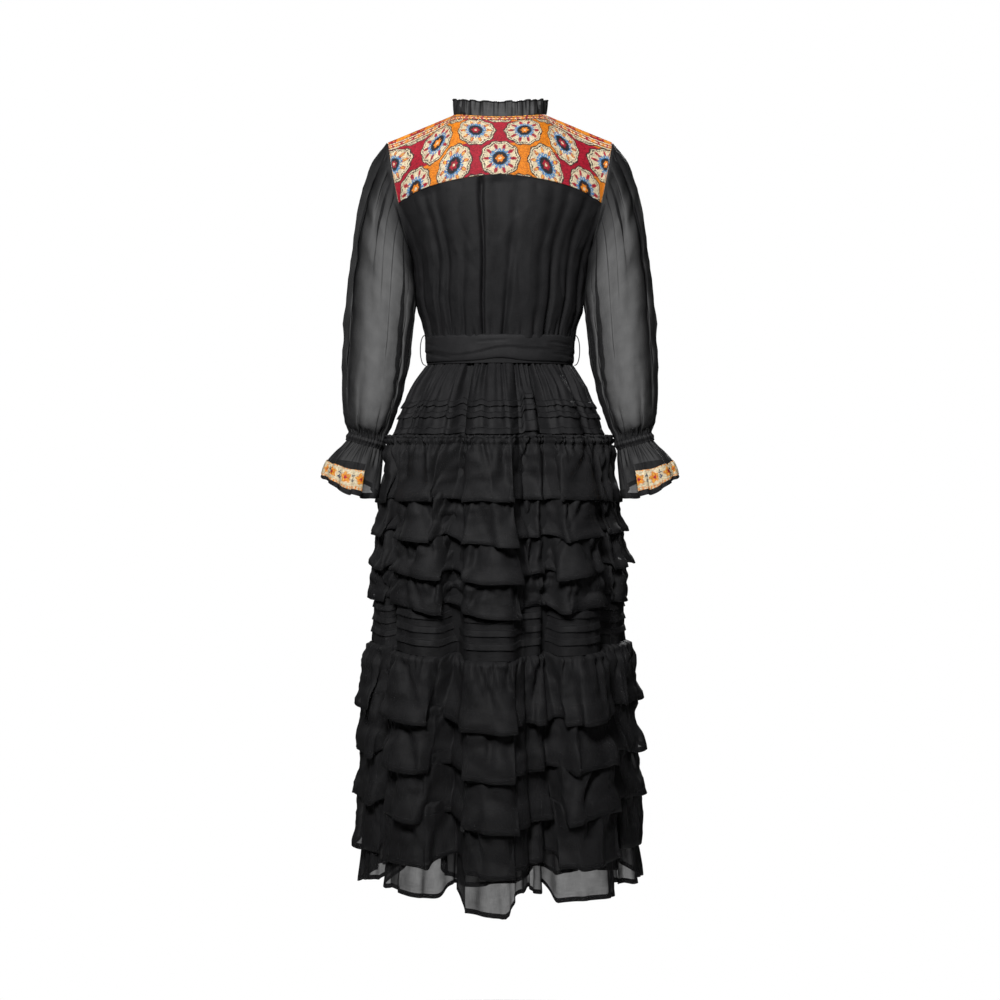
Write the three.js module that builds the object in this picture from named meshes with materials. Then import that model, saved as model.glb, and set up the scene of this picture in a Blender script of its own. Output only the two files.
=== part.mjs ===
// A long black dress, in the shape it has when worn, with nobody in it. Every piece is a thin wall of cloth.
// Millimetres. +Z is up, the front of the dress faces -Y and the wearer's left is +X. The origin is between the
// shoulders, at the height of the neck seam. Angles round the body are in degrees from the centre back, +Y,
// towards the wearer's left, so 90 is the left side and 180 the centre front.

import * as THREE from "three";

const DEGREE = Math.PI / 180;

// Cloth
const WALL = 1.2; // crepe and georgette
const YOKE_WALL = 2; // embroidered cloth
const BELT_WALL = 1.8; // the belt is folded double
const GAP = 0.3; // between two pieces at a seam

// Heights of the seams that go round the body
const BODICE_HEM = -378;
const BELT_TOP = -372;
const BELT_BOTTOM = -417;
const WAIST_SEAM = -420;
const SKIRT_TOP = -421;
const HIP_LEVEL = -447;
const FRILL_SEAM = -546; // the top of the first ruffle
const BAND_TOP = -818; // the tucked band
const BAND_BOTTOM = -906;
const HEM = -1308;

// The trunk of the dress: half its width, and its depth behind and in front of the origin
const TRUNK = [
  { z: -60, half: 198, back: 92, front: 84 },
  { z: -110, half: 194, back: 102, front: 98 },
  { z: -150, half: 188, back: 107, front: 110 },
  { z: -190, half: 168, back: 109, front: 121 },
  { z: -237, half: 150, back: 107, front: 126 },
  { z: -317, half: 140, back: 97, front: 112 },
  { z: -378, half: 123, back: 88, front: 94 },
  { z: -421, half: 124, back: 89, front: 95 },
];

// The skirt under its ruffles. level is the height at the centre back; rise lifts the sides above it, fold is
// how far the folds stand in and out, and drop how much lower a fold's ridge hangs.
const SKIRT = [
  { level: -421, half: 126, back: 91, front: 97, rise: 0, fold: 0, drop: 0 },
  { level: -447, half: 145, back: 112, front: 110, rise: 0, fold: 3, drop: 0 },
  { level: -546, half: 182, back: 160, front: 148, rise: 3, fold: 9, drop: 1 },
  { level: -633, half: 190, back: 172, front: 162, rise: 9, fold: 12.5, drop: 2 },
  { level: -702, half: 196, back: 178, front: 170, rise: 14, fold: 15, drop: 3 },
  { level: -818, half: 209, back: 190, front: 184, rise: 16, fold: 17, drop: 4 },
  { level: -906, half: 213, back: 196, front: 191, rise: 22, fold: 18, drop: 5 },
  { level: -987, half: 218, back: 201, front: 196, rise: 30, fold: 20, drop: 6 },
  { level: -1061, half: 221, back: 205, front: 200, rise: 34, fold: 22, drop: 7 },
  { level: -1200, half: 226, back: 210, front: 207, rise: 28, fold: 24, drop: 10 },
  { level: -1308, half: 236, back: 219, front: 216, rise: 14, fold: 23, drop: 17 },
];

// The skirt's folds, all round: a ridge has out above 0 and a valley below.
const FOLDS = [
  { angle: 2, out: 1 },
  { angle: 18, out: -0.9 },
  { angle: 33, out: 0.9 },
  { angle: 47, out: -0.8 },
  { angle: 64, out: 0.6 },
  { angle: 84, out: -0.4 },
  { angle: 110, out: 0.5 },
  { angle: 138, out: -0.8 },
  { angle: 166, out: 0.8 },
  { angle: 194, out: -0.9 },
  { angle: 222, out: 0.9 },
  { angle: 250, out: -0.7 },
  { angle: 277, out: 0.15 },
  { angle: 306, out: -0.7 },
  { angle: 323, out: 0.9 },
  { angle: 340, out: -1.2 },
];
const RIDGE_FLARE = 0.3; // a ruffle's hem stands out by this share more on a ridge, and less in a valley

// The ruffles, from the top. flare is how far the hem stands off the skirt.
const RUFFLES = [
  { top: -546, hem: -649, flare: 13, rise: 3, drop: 4, rows: [0, 1] },
  { top: -633, hem: -716, flare: 16, rise: 20, drop: 8, rows: [0, 1] },
  { top: -702, hem: -777, flare: 18, rise: 27, drop: 8, rows: [0, 1] },
  { top: -764, hem: -832, flare: 12, rise: 27, drop: 8, rows: [0, 1] },
  { top: -906, hem: -1018, flare: 22, rise: 40, drop: 9, rows: [0, 0.4, 1] },
  { top: -987, hem: -1096, flare: 16, rise: 38, drop: 9, rows: [0, 1] },
  { top: -1061, hem: -1176, flare: 15, rise: 44, drop: 12, rows: [0, 1] },
  { top: -1141, hem: -1243, flare: 11, rise: 27, drop: 15, rows: [0, 1] },
];

// The lower edges of the tucks, with how far each stands out
const TUCK_DEPTH = 2.2;
const TUCK_STEP = 1.5;
const SKIRT_TUCKS = [-494, -513, -540];
const BAND_TUCKS = [-845, -867, -889];

// The slip inside the skirt
const SLIP = [
  { z: -425, half: 118, back: 83, front: 89 },
  { z: -560, half: 166, back: 138, front: 128 },
  { z: -1085, half: 180, back: 158, front: 154 },
];
const SLIP_COLUMNS = 18;

// Neck and shoulders
const NECK = { half: 79, back: 62, front: 72, sideZ: 4, backZ: -6, frontZ: -40 };
const FRILL = { height: 23, lean: -1, wave: 2.5, shares: [1 / 3, 2 / 3, 1] };
const SHOULDER = { x: 190, z: -42 };
const YOKE_ANGLE = 65; // from the centre to the armhole, on the yoke's lower seam
const BACK_YOKE = { centre: -107, end: -150, notch: 96 }; // notch: where its seam meets the armhole, in degrees
const FRONT_YOKE = { centre: -108, end: -132, notch: 86 };
const SHOULDER_TURN = 1; // where the yokes meet on the armhole, clear of each other
const SHOULDER_CLEARANCE = 0.9; // of each yoke at the shoulder seam, whose edges lean
const NECK_SHARE = 0.5; // of the yoke's columns that end at the neck
const ROUNDING = 0.75; // of the yoke over the shoulder

// The armhole, a leaning oval
const ARMHOLE = { x: 170, z: -139.5, lean: 20, bulge: 3, high: 97.5, deep: 50 };

// The front opening
const PLACKET_HALF = 11;
const BUTTON = { radius: 5.5, height: 2.4, sides: 8, count: 6, firstZ: -62, spacing: 56 };

// A sleeve, left side: each section's outer and inner end, half its depth, and its middle's distance to the back
const SLEEVE = [
  { outX: 190, outZ: -42, inX: 150, inZ: -237, deep: 50, y: 0 },
  { outX: 217, outZ: -72, inX: 154, inZ: -262, deep: 56, y: 0 },
  { outX: 240, outZ: -139, inX: 150, inZ: -292, deep: 60, y: 0 },
  { outX: 255, outZ: -235, inX: 148, inZ: -330, deep: 62, y: 1 },
  { outX: 266, outZ: -350, inX: 152, inZ: -400, deep: 62, y: 3 },
  { outX: 270, outZ: -455, inX: 164, inZ: -466, deep: 60, y: 7 },
  { outX: 265, outZ: -513, inX: 182, inZ: -520, deep: 47, y: 12 },
  { outX: 256, outZ: -537, inX: 195, inZ: -553, deep: 29, y: 16 },
];
const SLEEVE_COLUMNS = 14;
const SLEEVE_START = 2.6; // clear of the armhole's edge
const WRIST = { x: 0.346, y: 0.12, z: -0.93 }; // which way the cuff points
const ELASTIC_HEIGHT = 8;
const CUFF = [
  { outX: 283, outZ: -585, inX: 204, inZ: -600, deep: 40, y: 26, tilt: 3 },
  { outX: 302, outZ: -610, inX: 211, inZ: -642, deep: 49, y: 36, tilt: 6 },
];
const CUFF_COLUMNS = 16;
const CUFF_BAND = { high: 0.16, low: 0.8, columns: 5 }; // columns on each side of the outer edge

// The belt's knot and ends, and the thread loops that carry it
const BELT_OUT = 3;
const KNOT = { half: 17, deep: 9, high: 20, columns: 10, rows: 6 };
const TAIL_TURN = 166; // the ridge beside the centre front, which the ends hang over
// The left end: how far it hangs off the skirt, and its edges
const TAIL = [
  { z: -416, out: 0, near: 1.5, far: 14 },
  { z: -470, out: 5, near: 3, far: 36 },
  { z: -550, out: 7, near: 6, far: 46 },
  { z: -640, out: 17, near: 9, far: 51 },
  { z: -712, out: 21, near: 11, far: 54 },
  { z: -750, out: 23, near: 12, far: 55 },
];
const LOOP = { radius: 0.8, out: 9, beyond: 3, sides: 6, steps: 8 };

// ---- Tables and curves ----

/** The row of a table at a value of its first column, each other column in proportion. */
function rowAt(table, key, value) {
  const down = table.findIndex((row) => row[key] <= value);
  const next = down < 0 ? table.length - 1 : Math.max(down, 1);
  const [a, b] = [table[next - 1], table[next]];
  const share = (value - a[key]) / (b[key] - a[key]);
  return Object.fromEntries(Object.keys(a).map((name) => [name, a[name] + (b[name] - a[name]) * share]));
}

function between(a, b, share) {
  return a + (b - a) * share;
}

/** How far the folds stand out at an angle, from -1.2 to 1: a smooth wave through the rows of FOLDS. */
function foldAt(angle) {
  const next = FOLDS.findIndex((fold) => fold.angle > ((angle % 360) + 360) % 360);
  const b = FOLDS[Math.max(next, 0)];
  const a = FOLDS.at(next < 0 ? -1 : next - 1);
  const span = (b.angle - a.angle + 360) % 360;
  const past = (angle - a.angle + 720) % 360;
  return between(a.out, b.out, (1 - Math.cos((past / span) * Math.PI)) / 2);
}

/** A point on an oval section at an angle, moved out square to it. */
function oval(section, angle, out, z) {
  const [s, c] = [Math.sin(angle * DEGREE), Math.cos(angle * DEGREE)];
  const deep = c > 0 ? section.back : section.front;
  const normal = new THREE.Vector2(s / section.half, c / deep).normalize();
  return new THREE.Vector3(section.half * s + normal.x * out, deep * c + normal.y * out, z);
}

function trunkPoint(angle, z, out = 0) {
  return oval(rowAt(TRUNK, "z", z), angle, out, z);
}

/** A point of the skirt. own holds columns that replace the table's. */
function skirtPoint(angle, level, own = {}) {
  const row = { stand: 0, ...rowAt(SKIRT, "level", level), ...own };
  const fold = foldAt(angle);
  const z = level + row.rise * Math.sin(angle * DEGREE) ** 2 - row.drop * fold;
  return oval(row, angle, row.fold * fold + row.stand * (1 + RIDGE_FLARE * fold), z);
}

/** A point on the neck seam. */
function neckPoint(angle, out = 0) {
  const c = Math.cos(angle * DEGREE);
  const low = c > 0 ? NECK.backZ : NECK.frontZ;
  return oval(NECK, angle, out, between(NECK.sideZ, low, c * c));
}

/** A point on the left armhole, in degrees from its top towards the back. */
function armholePoint(turn) {
  const [s, c] = [Math.sin(turn * DEGREE), Math.cos(turn * DEGREE)];
  const x = ARMHOLE.x + ARMHOLE.lean * c + ARMHOLE.bulge * s * s;
  return new THREE.Vector3(x, ARMHOLE.deep * s, ARMHOLE.z + ARMHOLE.high * c);
}

function mirrored(point) {
  return new THREE.Vector3(-point.x, point.y, point.z);
}

const mirrorGrid = (grid) => grid.map((row) => row.map(mirrored));

// ---- Walls ----

function signedVolume(points, faces) {
  return faces.reduce((sum, [a, b, c]) => {
    const across = new THREE.Vector3().crossVectors(points[b], points[c]);
    return sum + points[a].dot(across) / 6;
  }, 0);
}

/** The direction square to a grid of points, at each of them. */
function gridNormals(grid, closed) {
  const [rows, columns] = [grid.length, grid[0].length];
  return grid.map((row, r) =>
    row.map((_, c) => {
      const [left, right] = closed
        ? [row[(c + columns - 1) % columns], row[(c + 1) % columns]]
        : [row[Math.max(c - 1, 0)], row[Math.min(c + 1, columns - 1)]];
      const [over, under] = [grid[Math.max(r - 1, 0)][c], grid[Math.min(r + 1, rows - 1)][c]];
      const across = new THREE.Vector3().subVectors(right, left);
      const down = new THREE.Vector3().subVectors(under, over);
      return across.cross(down).normalize();
    }),
  );
}

/** A closed wall round a grid of points, half its thickness on each side. A closed grid joins its last column to
 *  its first. */
function wall(grid, { closed = true, thickness = WALL } = {}) {
  const [rows, columns] = [grid.length, grid[0].length];
  const normals = gridNormals(grid, closed);
  const points = [0.5, -0.5].flatMap((side) =>
    grid.flatMap((row, r) => row.map((p, c) => p.clone().addScaledVector(normals[r][c], side * thickness))),
  );
  const at = (side, r, c) => side * rows * columns + r * columns + (c % columns);
  const faces = [];
  const quad = (a, b, c, d) => faces.push([a, b, c], [a, c, d]);
  const spans = closed ? columns : columns - 1;
  for (let c = 0; c < spans; c++) {
    for (let r = 0; r < rows - 1; r++) {
      quad(at(0, r, c), at(0, r, c + 1), at(0, r + 1, c + 1), at(0, r + 1, c));
      quad(at(1, r, c), at(1, r + 1, c), at(1, r + 1, c + 1), at(1, r, c + 1));
    }
    quad(at(0, 0, c), at(1, 0, c), at(1, 0, c + 1), at(0, 0, c + 1));
    quad(at(0, rows - 1, c), at(0, rows - 1, c + 1), at(1, rows - 1, c + 1), at(1, rows - 1, c));
  }
  if (!closed) {
    const last = columns - 1;
    for (let r = 0; r < rows - 1; r++) {
      quad(at(0, r, 0), at(0, r + 1, 0), at(1, r + 1, 0), at(1, r, 0));
      quad(at(0, r, last), at(1, r, last), at(1, r + 1, last), at(0, r + 1, last));
    }
  }
  const outward = signedVolume(points, faces) > 0 ? faces : faces.map(([a, b, c]) => [a, c, b]);
  const geometry = new THREE.BufferGeometry();
  geometry.setAttribute("position", new THREE.Float32BufferAttribute(points.flatMap((p) => [p.x, p.y, p.z]), 3));
  geometry.setIndex(outward.flat());
  return geometry;
}

// ---- Materials ----

const cloth = (color, roughness = 0.8, opacity = 1) =>
  new THREE.MeshStandardMaterial({ color, roughness, metalness: 0, opacity, transparent: opacity < 1 });

const CREPE = () => cloth(0x151516, 0.75);
const GEORGETTE = () => cloth(0x161617, 0.7, 0.85);
const CHIFFON = () => cloth(0x181819, 0.65, 0.6);
const EMBROIDERY = () => cloth(0xd98a3c, 0.85);
const BELT_CLOTH = () => cloth(0x19191a, 0.6);
const BUTTON_SHELL = () => cloth(0x101011, 0.35);

const dress = new THREE.Group();

function add(name, geometry, material) {
  const mesh = new THREE.Mesh(geometry, material);
  mesh.name = name;
  dress.add(mesh);
}

// ---- Neck, yokes and bodice ----

// Columns from the centre, through the neck's and the yoke's ends, to the side
const ACROSS = [0, NECK_SHARE / 3, (NECK_SHARE * 2) / 3, NECK_SHARE, 0.75, 1, 1.5, 2];
const NECK_END = 3; // the column at the side of the neck
const YOKE_END = 5; // the column that ends at the armhole
const SIDE_SEAM = ACROSS.length - 1;
const WAIST_STEP = 90 / SIDE_SEAM; // degrees between columns at the waist
const YOKE_DOWN = [0, 0.25, 0.5, 0.75, 1];
const BODICE_DOWN = [0, 0.25, 0.5, 0.75, 1];
const BACK = 1;
const FRONT = -1;

/** The angle round the body of one measured from the centre of a side. */
const fromCentre = (angle, side) => (side === BACK ? angle : 180 - angle);

/** A point of the left half of a yoke, down from the neck and shoulder to its lower seam. */
function yokePoint(column, down, side) {
  const seam = side === BACK ? BACK_YOKE : FRONT_YOKE;
  const across = ACROSS[column];
  if (column === YOKE_END) return armholePoint(side * between(SHOULDER_TURN, seam.notch, down));
  const low = trunkPoint(fromCentre(YOKE_ANGLE * across, side), between(seam.centre, seam.end, across ** 1.6));
  const beyond = (across - NECK_SHARE) / (1 - NECK_SHARE);
  const top =
    beyond > 0
      ? new THREE.Vector3(between(NECK.half, SHOULDER.x, beyond), 0, between(NECK.sideZ, SHOULDER.z, beyond))
      : neckPoint(fromCentre((across / NECK_SHARE) * 90, side));
  if (across >= NECK_SHARE) top.y = side * SHOULDER_CLEARANCE;
  const quarter = (down * Math.PI) / 2;
  const level = between(down, Math.sin(quarter), ROUNDING);
  const fall = between(down, 1 - Math.cos(quarter), ROUNDING);
  return new THREE.Vector3(between(top.x, low.x, level), between(top.y, low.y, level), between(top.z, low.z, fall));
}

/** A point of the left half of the bodice, down from the yoke's seam and the armhole to the waist. */
function bodicePoint(column, down, side) {
  const seam = side === BACK ? BACK_YOKE : FRONT_YOKE;
  const past = Math.max(ACROSS[column] - 1, 0);
  const top = past > 0 ? armholePoint(side * between(seam.notch, 180, past)) : yokePoint(column, 1, side);
  const section = rowAt(TRUNK, "z", top.z);
  const deep = side === BACK ? section.back : section.front;
  const topTurn = Math.atan2(top.x / section.half, Math.abs(top.y) / deep) / DEGREE;
  const off = top.clone().sub(trunkPoint(fromCentre(topTurn, side), top.z));
  const z = between(top.z - 2 * GAP, BODICE_HEM, down);
  const turn = between(topTurn, WAIST_STEP * column, down);
  const point = trunkPoint(fromCentre(turn, side), z).addScaledVector(off, (1 - down) ** 2);
  if (column === SIDE_SEAM) point.y = side * GAP;
  return point;
}

/** Rows of points over the left half, from the centre to a last column. */
function halfGrid(point, down, side, last) {
  const columns = Array.from({ length: last + 1 }, (_, column) => column);
  return down.map((share) => columns.map((column) => point(column, share, side)));
}

/** Both halves of the back in one grid. */
const wholeGrid = (half) => half.map((row) => [...row.slice(1).reverse().map(mirrored), ...row]);

/** The left front, which ends beside the placket. */
function frontGrid(point, down, last) {
  const half = halfGrid(point, down, FRONT, last);
  half.forEach(([centre]) => centre.setX(PLACKET_HALF));
  return half;
}

const backYoke = wholeGrid(halfGrid(yokePoint, YOKE_DOWN, BACK, YOKE_END));
const backBodice = wholeGrid(halfGrid(bodicePoint, BODICE_DOWN, BACK, SIDE_SEAM));
add("back_yoke", wall(backYoke, { closed: false, thickness: YOKE_WALL }), EMBROIDERY());
add("back_bodice", wall(backBodice, { closed: false }), CREPE());

const frontYoke = frontGrid(yokePoint, YOKE_DOWN, YOKE_END);
const frontBodice = frontGrid(bodicePoint, BODICE_DOWN, SIDE_SEAM);
for (const [side, turned] of [["left", (grid) => grid], ["right", mirrorGrid]]) {
  add(`front_yoke_${side}`, wall(turned(frontYoke), { closed: false, thickness: YOKE_WALL }), EMBROIDERY());
  add(`front_bodice_${side}`, wall(turned(frontBodice), { closed: false }), CREPE());
}

/** The gathered stand-up frill. It stands on the yokes' neck edges and is open at the centre front. */
function neckFrill() {
  const columns = Array.from({ length: NECK_END + 1 }, (_, column) => column);
  const back = columns.map((column) => yokePoint(column, 0, BACK));
  const front = frontYoke[0].slice(0, NECK_END).reverse();
  const edge = [...back, ...front];
  const round = [...edge.slice(1).reverse().map(mirrored), ...edge];
  const fine = round.slice(1).flatMap((point, i) => FRILL.shares.map((share) => round[i].clone().lerp(point, share)));
  const foot = [round[0], ...fine].map((point) => point.clone().setZ(point.z + YOKE_WALL / 2 + 3 * GAP));
  const top = foot.map((point, i) => {
    const outward = new THREE.Vector3(point.x / NECK.half, point.y / NECK.back, 0).normalize();
    const out = FRILL.lean + (i % 2 ? FRILL.wave : -FRILL.wave);
    return point.clone().addScaledVector(outward, out).setZ(point.z + FRILL.height);
  });
  return wall([top, foot], { closed: false });
}
add("neck_frill", neckFrill(), CHIFFON());

// ---- The front opening ----

const frontLine = [
  ...YOKE_DOWN.map((down) => yokePoint(0, down, FRONT)),
  ...BODICE_DOWN.slice(1).map((down) => bodicePoint(0, down, FRONT)),
];
const placketGrid = frontLine.map(({ y, z }) =>
  [1, -1].map((side) => new THREE.Vector3(side * (PLACKET_HALF - GAP), y, z)),
);
add("placket", wall(placketGrid, { closed: false }), CREPE());

/** A flat round button, lying on the placket's straight run that holds its height. */
function button(z) {
  const next = frontLine.findIndex((point) => point.z < z);
  const [over, under] = [frontLine[next - 1], frontLine[next]];
  const place = over.clone().lerp(under, (over.z - z) / (over.z - under.z));
  const normal = new THREE.Vector3(0, under.z - over.z, over.y - under.y).normalize();
  const geometry = new THREE.CylinderGeometry(BUTTON.radius, BUTTON.radius, BUTTON.height, BUTTON.sides);
  geometry.applyQuaternion(new THREE.Quaternion().setFromUnitVectors(new THREE.Vector3(0, 1, 0), normal));
  const middle = place.addScaledVector(normal, WALL / 2 + GAP + BUTTON.height / 2);
  return geometry.translate(0, middle.y, middle.z);
}
for (let i = 0; i < BUTTON.count; i++) {
  add(`button_${i + 1}`, button(BUTTON.firstZ - i * BUTTON.spacing), BUTTON_SHELL());
}

// ---- Sleeves and cuffs ----

/** A ring of a left sleeve: its outer end first, then round by the back. */
function sleeveRing(section, columns) {
  const middle = new THREE.Vector3((section.outX + section.inX) / 2, section.y, (section.outZ + section.inZ) / 2);
  const outward = new THREE.Vector3((section.outX - section.inX) / 2, 0, (section.outZ - section.inZ) / 2);
  return Array.from({ length: columns }, (_, i) => {
    const turn = (i / columns) * 360 * DEGREE;
    const back = new THREE.Vector3(0, section.deep * Math.sin(turn), -(section.tilt ?? 0) * Math.sin(turn));
    return middle.clone().addScaledVector(outward, Math.cos(turn)).add(back);
  });
}

const moved = (ring, distance) => ring.map((point) => point.clone().addScaledVector(WRIST, distance));
const armholeRing = Array.from({ length: SLEEVE_COLUMNS }, (_, i) =>
  armholePoint((i / SLEEVE_COLUMNS) * 360).add(new THREE.Vector3(SLEEVE_START, 0, 0)),
);
const sleeve = [armholeRing, ...SLEEVE.slice(1).map((section) => sleeveRing(section, SLEEVE_COLUMNS))];

const wrist = sleeveRing(SLEEVE.at(-1), CUFF_COLUMNS);
const elastic = [moved(wrist, 2 * GAP + WALL), moved(wrist, ELASTIC_HEIGHT)];
const flounce = [moved(wrist, ELASTIC_HEIGHT + 2 * GAP), ...CUFF.map((section) => sleeveRing(section, CUFF_COLUMNS))];

/** The embroidered strip on the cuff, laid on its outer side. */
function cuffBand() {
  const [over, under] = flounce.slice(1);
  const ends = Array.from({ length: 2 * CUFF_BAND.columns + 1 }, (_, i) => i - CUFF_BAND.columns);
  const column = (i) => (i + CUFF_COLUMNS) % CUFF_COLUMNS;
  const rows = [CUFF_BAND.high, CUFF_BAND.low].map((share) =>
    ends.map((i) => over[column(i)].clone().lerp(under[column(i)], share)),
  );
  const normals = gridNormals(rows, false);
  const out = WALL + GAP;
  return rows.map((row, r) => row.map((point, c) => point.addScaledVector(normals[r][c], -out)));
}

const band = cuffBand();
for (const [side, turned] of [["left", (grid) => grid], ["right", mirrorGrid]]) {
  add(`sleeve_${side}`, wall(turned(sleeve)), CHIFFON());
  add(`cuff_elastic_${side}`, wall(turned(elastic)), CREPE());
  add(`cuff_flounce_${side}`, wall(turned(flounce)), CHIFFON());
  add(`cuff_band_${side}`, wall(turned(band), { closed: false }), EMBROIDERY());
}

// ---- Waistband and belt ----

const waistTurns = Array.from({ length: 4 * SIDE_SEAM }, (_, i) => i * WAIST_STEP);
const waistRing = (z, out = 0) => waistTurns.map((turn) => trunkPoint(turn, z, out));
add("waistband", wall([waistRing(BODICE_HEM - GAP), waistRing(WAIST_SEAM)]), CREPE());
add("belt", wall([waistRing(BELT_TOP, BELT_OUT), waistRing(BELT_BOTTOM, BELT_OUT)], { thickness: BELT_WALL }), BELT_CLOTH());

const beltMiddle = (BELT_TOP + BELT_BOTTOM) / 2;
const knotY = trunkPoint(180, BELT_TOP, BELT_OUT + BELT_WALL / 2 + 2 * GAP + KNOT.deep).y;

function beltKnot() {
  const geometry = new THREE.SphereGeometry(1, KNOT.columns, KNOT.rows);
  return geometry.scale(KNOT.half, KNOT.deep, KNOT.high).translate(0, knotY, beltMiddle);
}
add("belt_knot", beltKnot(), BELT_CLOTH());

/** The belt's left end, hanging from the knot in front of the skirt. */
const tail = TAIL.map(({ z, out, near, far }, i) => {
  const y = i === 0 ? knotY : skirtPoint(TAIL_TURN, z, { stand: out }).y;
  return [near, far].map((x) => new THREE.Vector3(x, y, z));
});

/** A thread loop that stands out round the belt at the left side seam. */
function beltLoop(mirror) {
  const half = (BELT_TOP - BELT_BOTTOM) / 2 + LOOP.beyond;
  const start = trunkPoint(90, BELT_TOP + LOOP.beyond, WALL / 2 + 2 * GAP + LOOP.radius).x;
  const points = Array.from({ length: LOOP.steps + 1 }, (_, i) => {
    const turn = (i / LOOP.steps) * Math.PI;
    return new THREE.Vector3(mirror * (start + LOOP.out * Math.sin(turn)), 0, beltMiddle + half * Math.cos(turn));
  });
  const section = new THREE.Shape(
    Array.from({ length: LOOP.sides }, (_, i) => {
      const turn = (i / LOOP.sides) * 2 * Math.PI;
      return new THREE.Vector2(LOOP.radius * Math.cos(turn), LOOP.radius * Math.sin(turn));
    }),
  );
  const path = new THREE.CatmullRomCurve3(points);
  return new THREE.ExtrudeGeometry(section, { steps: LOOP.steps, extrudePath: path, bevelEnabled: false });
}
for (const [side, turned, sign] of [["left", (grid) => grid, 1], ["right", mirrorGrid, -1]]) {
  add(`belt_tail_${side}`, wall(turned(tail), { closed: false, thickness: BELT_WALL }), BELT_CLOTH());
  add(`belt_loop_${side}`, beltLoop(sign), CREPE());
}

// ---- Skirt ----

/** The columns of every ring of the skirt: each fold, and the middle between it and the next. */
const skirtTurns = FOLDS.flatMap(({ angle }, i) => {
  const next = FOLDS[(i + 1) % FOLDS.length].angle;
  return [angle, angle + ((next - angle + 360) % 360) / 2];
});

/** A ring of points moved out square to its sides. */
function outset(ring, out) {
  const square = (a, b) => new THREE.Vector3(a.y - b.y, b.x - a.x, 0).normalize();
  return ring.map((point, i) => {
    const before = square(ring[(i + ring.length - 1) % ring.length], point);
    const after = square(point, ring[(i + 1) % ring.length]);
    const corner = before.clone().add(after).divideScalar(1 + before.dot(after));
    return point.clone().addScaledVector(corner, out);
  });
}

const skirtRing = (level, out = 0, own = {}) => outset(skirtTurns.map((turn) => skirtPoint(turn, level, own)), out);

/** Rings from a seam to a seam, with the lower edge of each tuck standing out between them. */
function tucked(rows, tucks, end) {
  const steps = tucks.flatMap((level) => [skirtRing(level, TUCK_DEPTH), skirtRing(level - TUCK_STEP)]);
  return wall([...rows.map((level) => skirtRing(level)), ...steps, skirtRing(end)]);
}
add("skirt_top", tucked([SKIRT_TOP, HIP_LEVEL], SKIRT_TUCKS, FRILL_SEAM + 2 * GAP), CREPE());
add("tuck_band", tucked([BAND_TOP - 2 * GAP], BAND_TUCKS, BAND_BOTTOM + 2 * GAP), GEORGETTE());

const levelsBetween = (top, low) => SKIRT.map((row) => row.level).filter((level) => level <= top && level >= low);
add("skirt_mid", wall(levelsBetween(FRILL_SEAM, BAND_TOP).map((level) => skirtRing(level))), CREPE());
add("skirt_lower", wall(levelsBetween(BAND_BOTTOM, HEM).map((level) => skirtRing(level))), GEORGETTE());

/** A ruffle, from its seam on the skirt to a hem that stands off it, further on a ridge. */
function ruffle({ top, hem, flare, rise, drop, rows }) {
  const seamRow = rowAt(SKIRT, "level", top);
  const grid = rows.map((share) => {
    const own = { rise: between(seamRow.rise, rise, share), drop: between(seamRow.drop, drop, share) };
    return skirtRing(between(top, hem, share), WALL + 3 * GAP, { ...own, stand: flare * share });
  });
  return wall(grid);
}
RUFFLES.forEach((row, i) => add(`ruffle_${i + 1}`, ruffle(row), GEORGETTE()));

const slipTurns = Array.from({ length: SLIP_COLUMNS }, (_, i) => (i / SLIP_COLUMNS) * 360);
add("slip", wall(SLIP.map((section) => slipTurns.map((turn) => oval(section, turn, 0, section.z)))), CREPE());

export default dress;
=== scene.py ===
"""A long black tiered dress in the shape it has when worn, with nobody in it: sheer ruffles over a slip, a
tucked hip and band, chiffon balloon sleeves, and an embroidered yoke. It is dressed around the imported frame.

Lengths are in millimetres until a mesh is made. Angles round the body are in degrees from the centre back,
+Y, towards the wearer's left, +X, so 90 is the left side and 180 the centre front."""

import math

import bmesh
import bpy
import numpy as np
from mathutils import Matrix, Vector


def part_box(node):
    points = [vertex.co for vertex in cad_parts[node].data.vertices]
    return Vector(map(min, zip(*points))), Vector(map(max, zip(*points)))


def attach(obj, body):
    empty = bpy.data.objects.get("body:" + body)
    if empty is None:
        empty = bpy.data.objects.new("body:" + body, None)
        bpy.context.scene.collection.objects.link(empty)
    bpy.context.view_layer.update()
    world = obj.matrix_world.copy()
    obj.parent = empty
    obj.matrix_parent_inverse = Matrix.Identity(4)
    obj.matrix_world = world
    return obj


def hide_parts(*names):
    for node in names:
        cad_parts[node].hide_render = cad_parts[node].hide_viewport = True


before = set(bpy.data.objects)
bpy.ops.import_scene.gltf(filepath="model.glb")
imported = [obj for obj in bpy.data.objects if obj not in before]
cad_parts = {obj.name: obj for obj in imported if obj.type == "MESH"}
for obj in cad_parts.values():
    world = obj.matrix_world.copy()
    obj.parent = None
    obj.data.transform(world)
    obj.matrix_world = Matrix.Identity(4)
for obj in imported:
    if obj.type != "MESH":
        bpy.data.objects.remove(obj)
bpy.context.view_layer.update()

MM = 0.001
BODY = "root"


def table(names, *rows):
    """Rows whose columns have these names."""
    return [dict(zip(names.split(), row)) for row in rows]


# ---- Camera, light and floor ----

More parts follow.
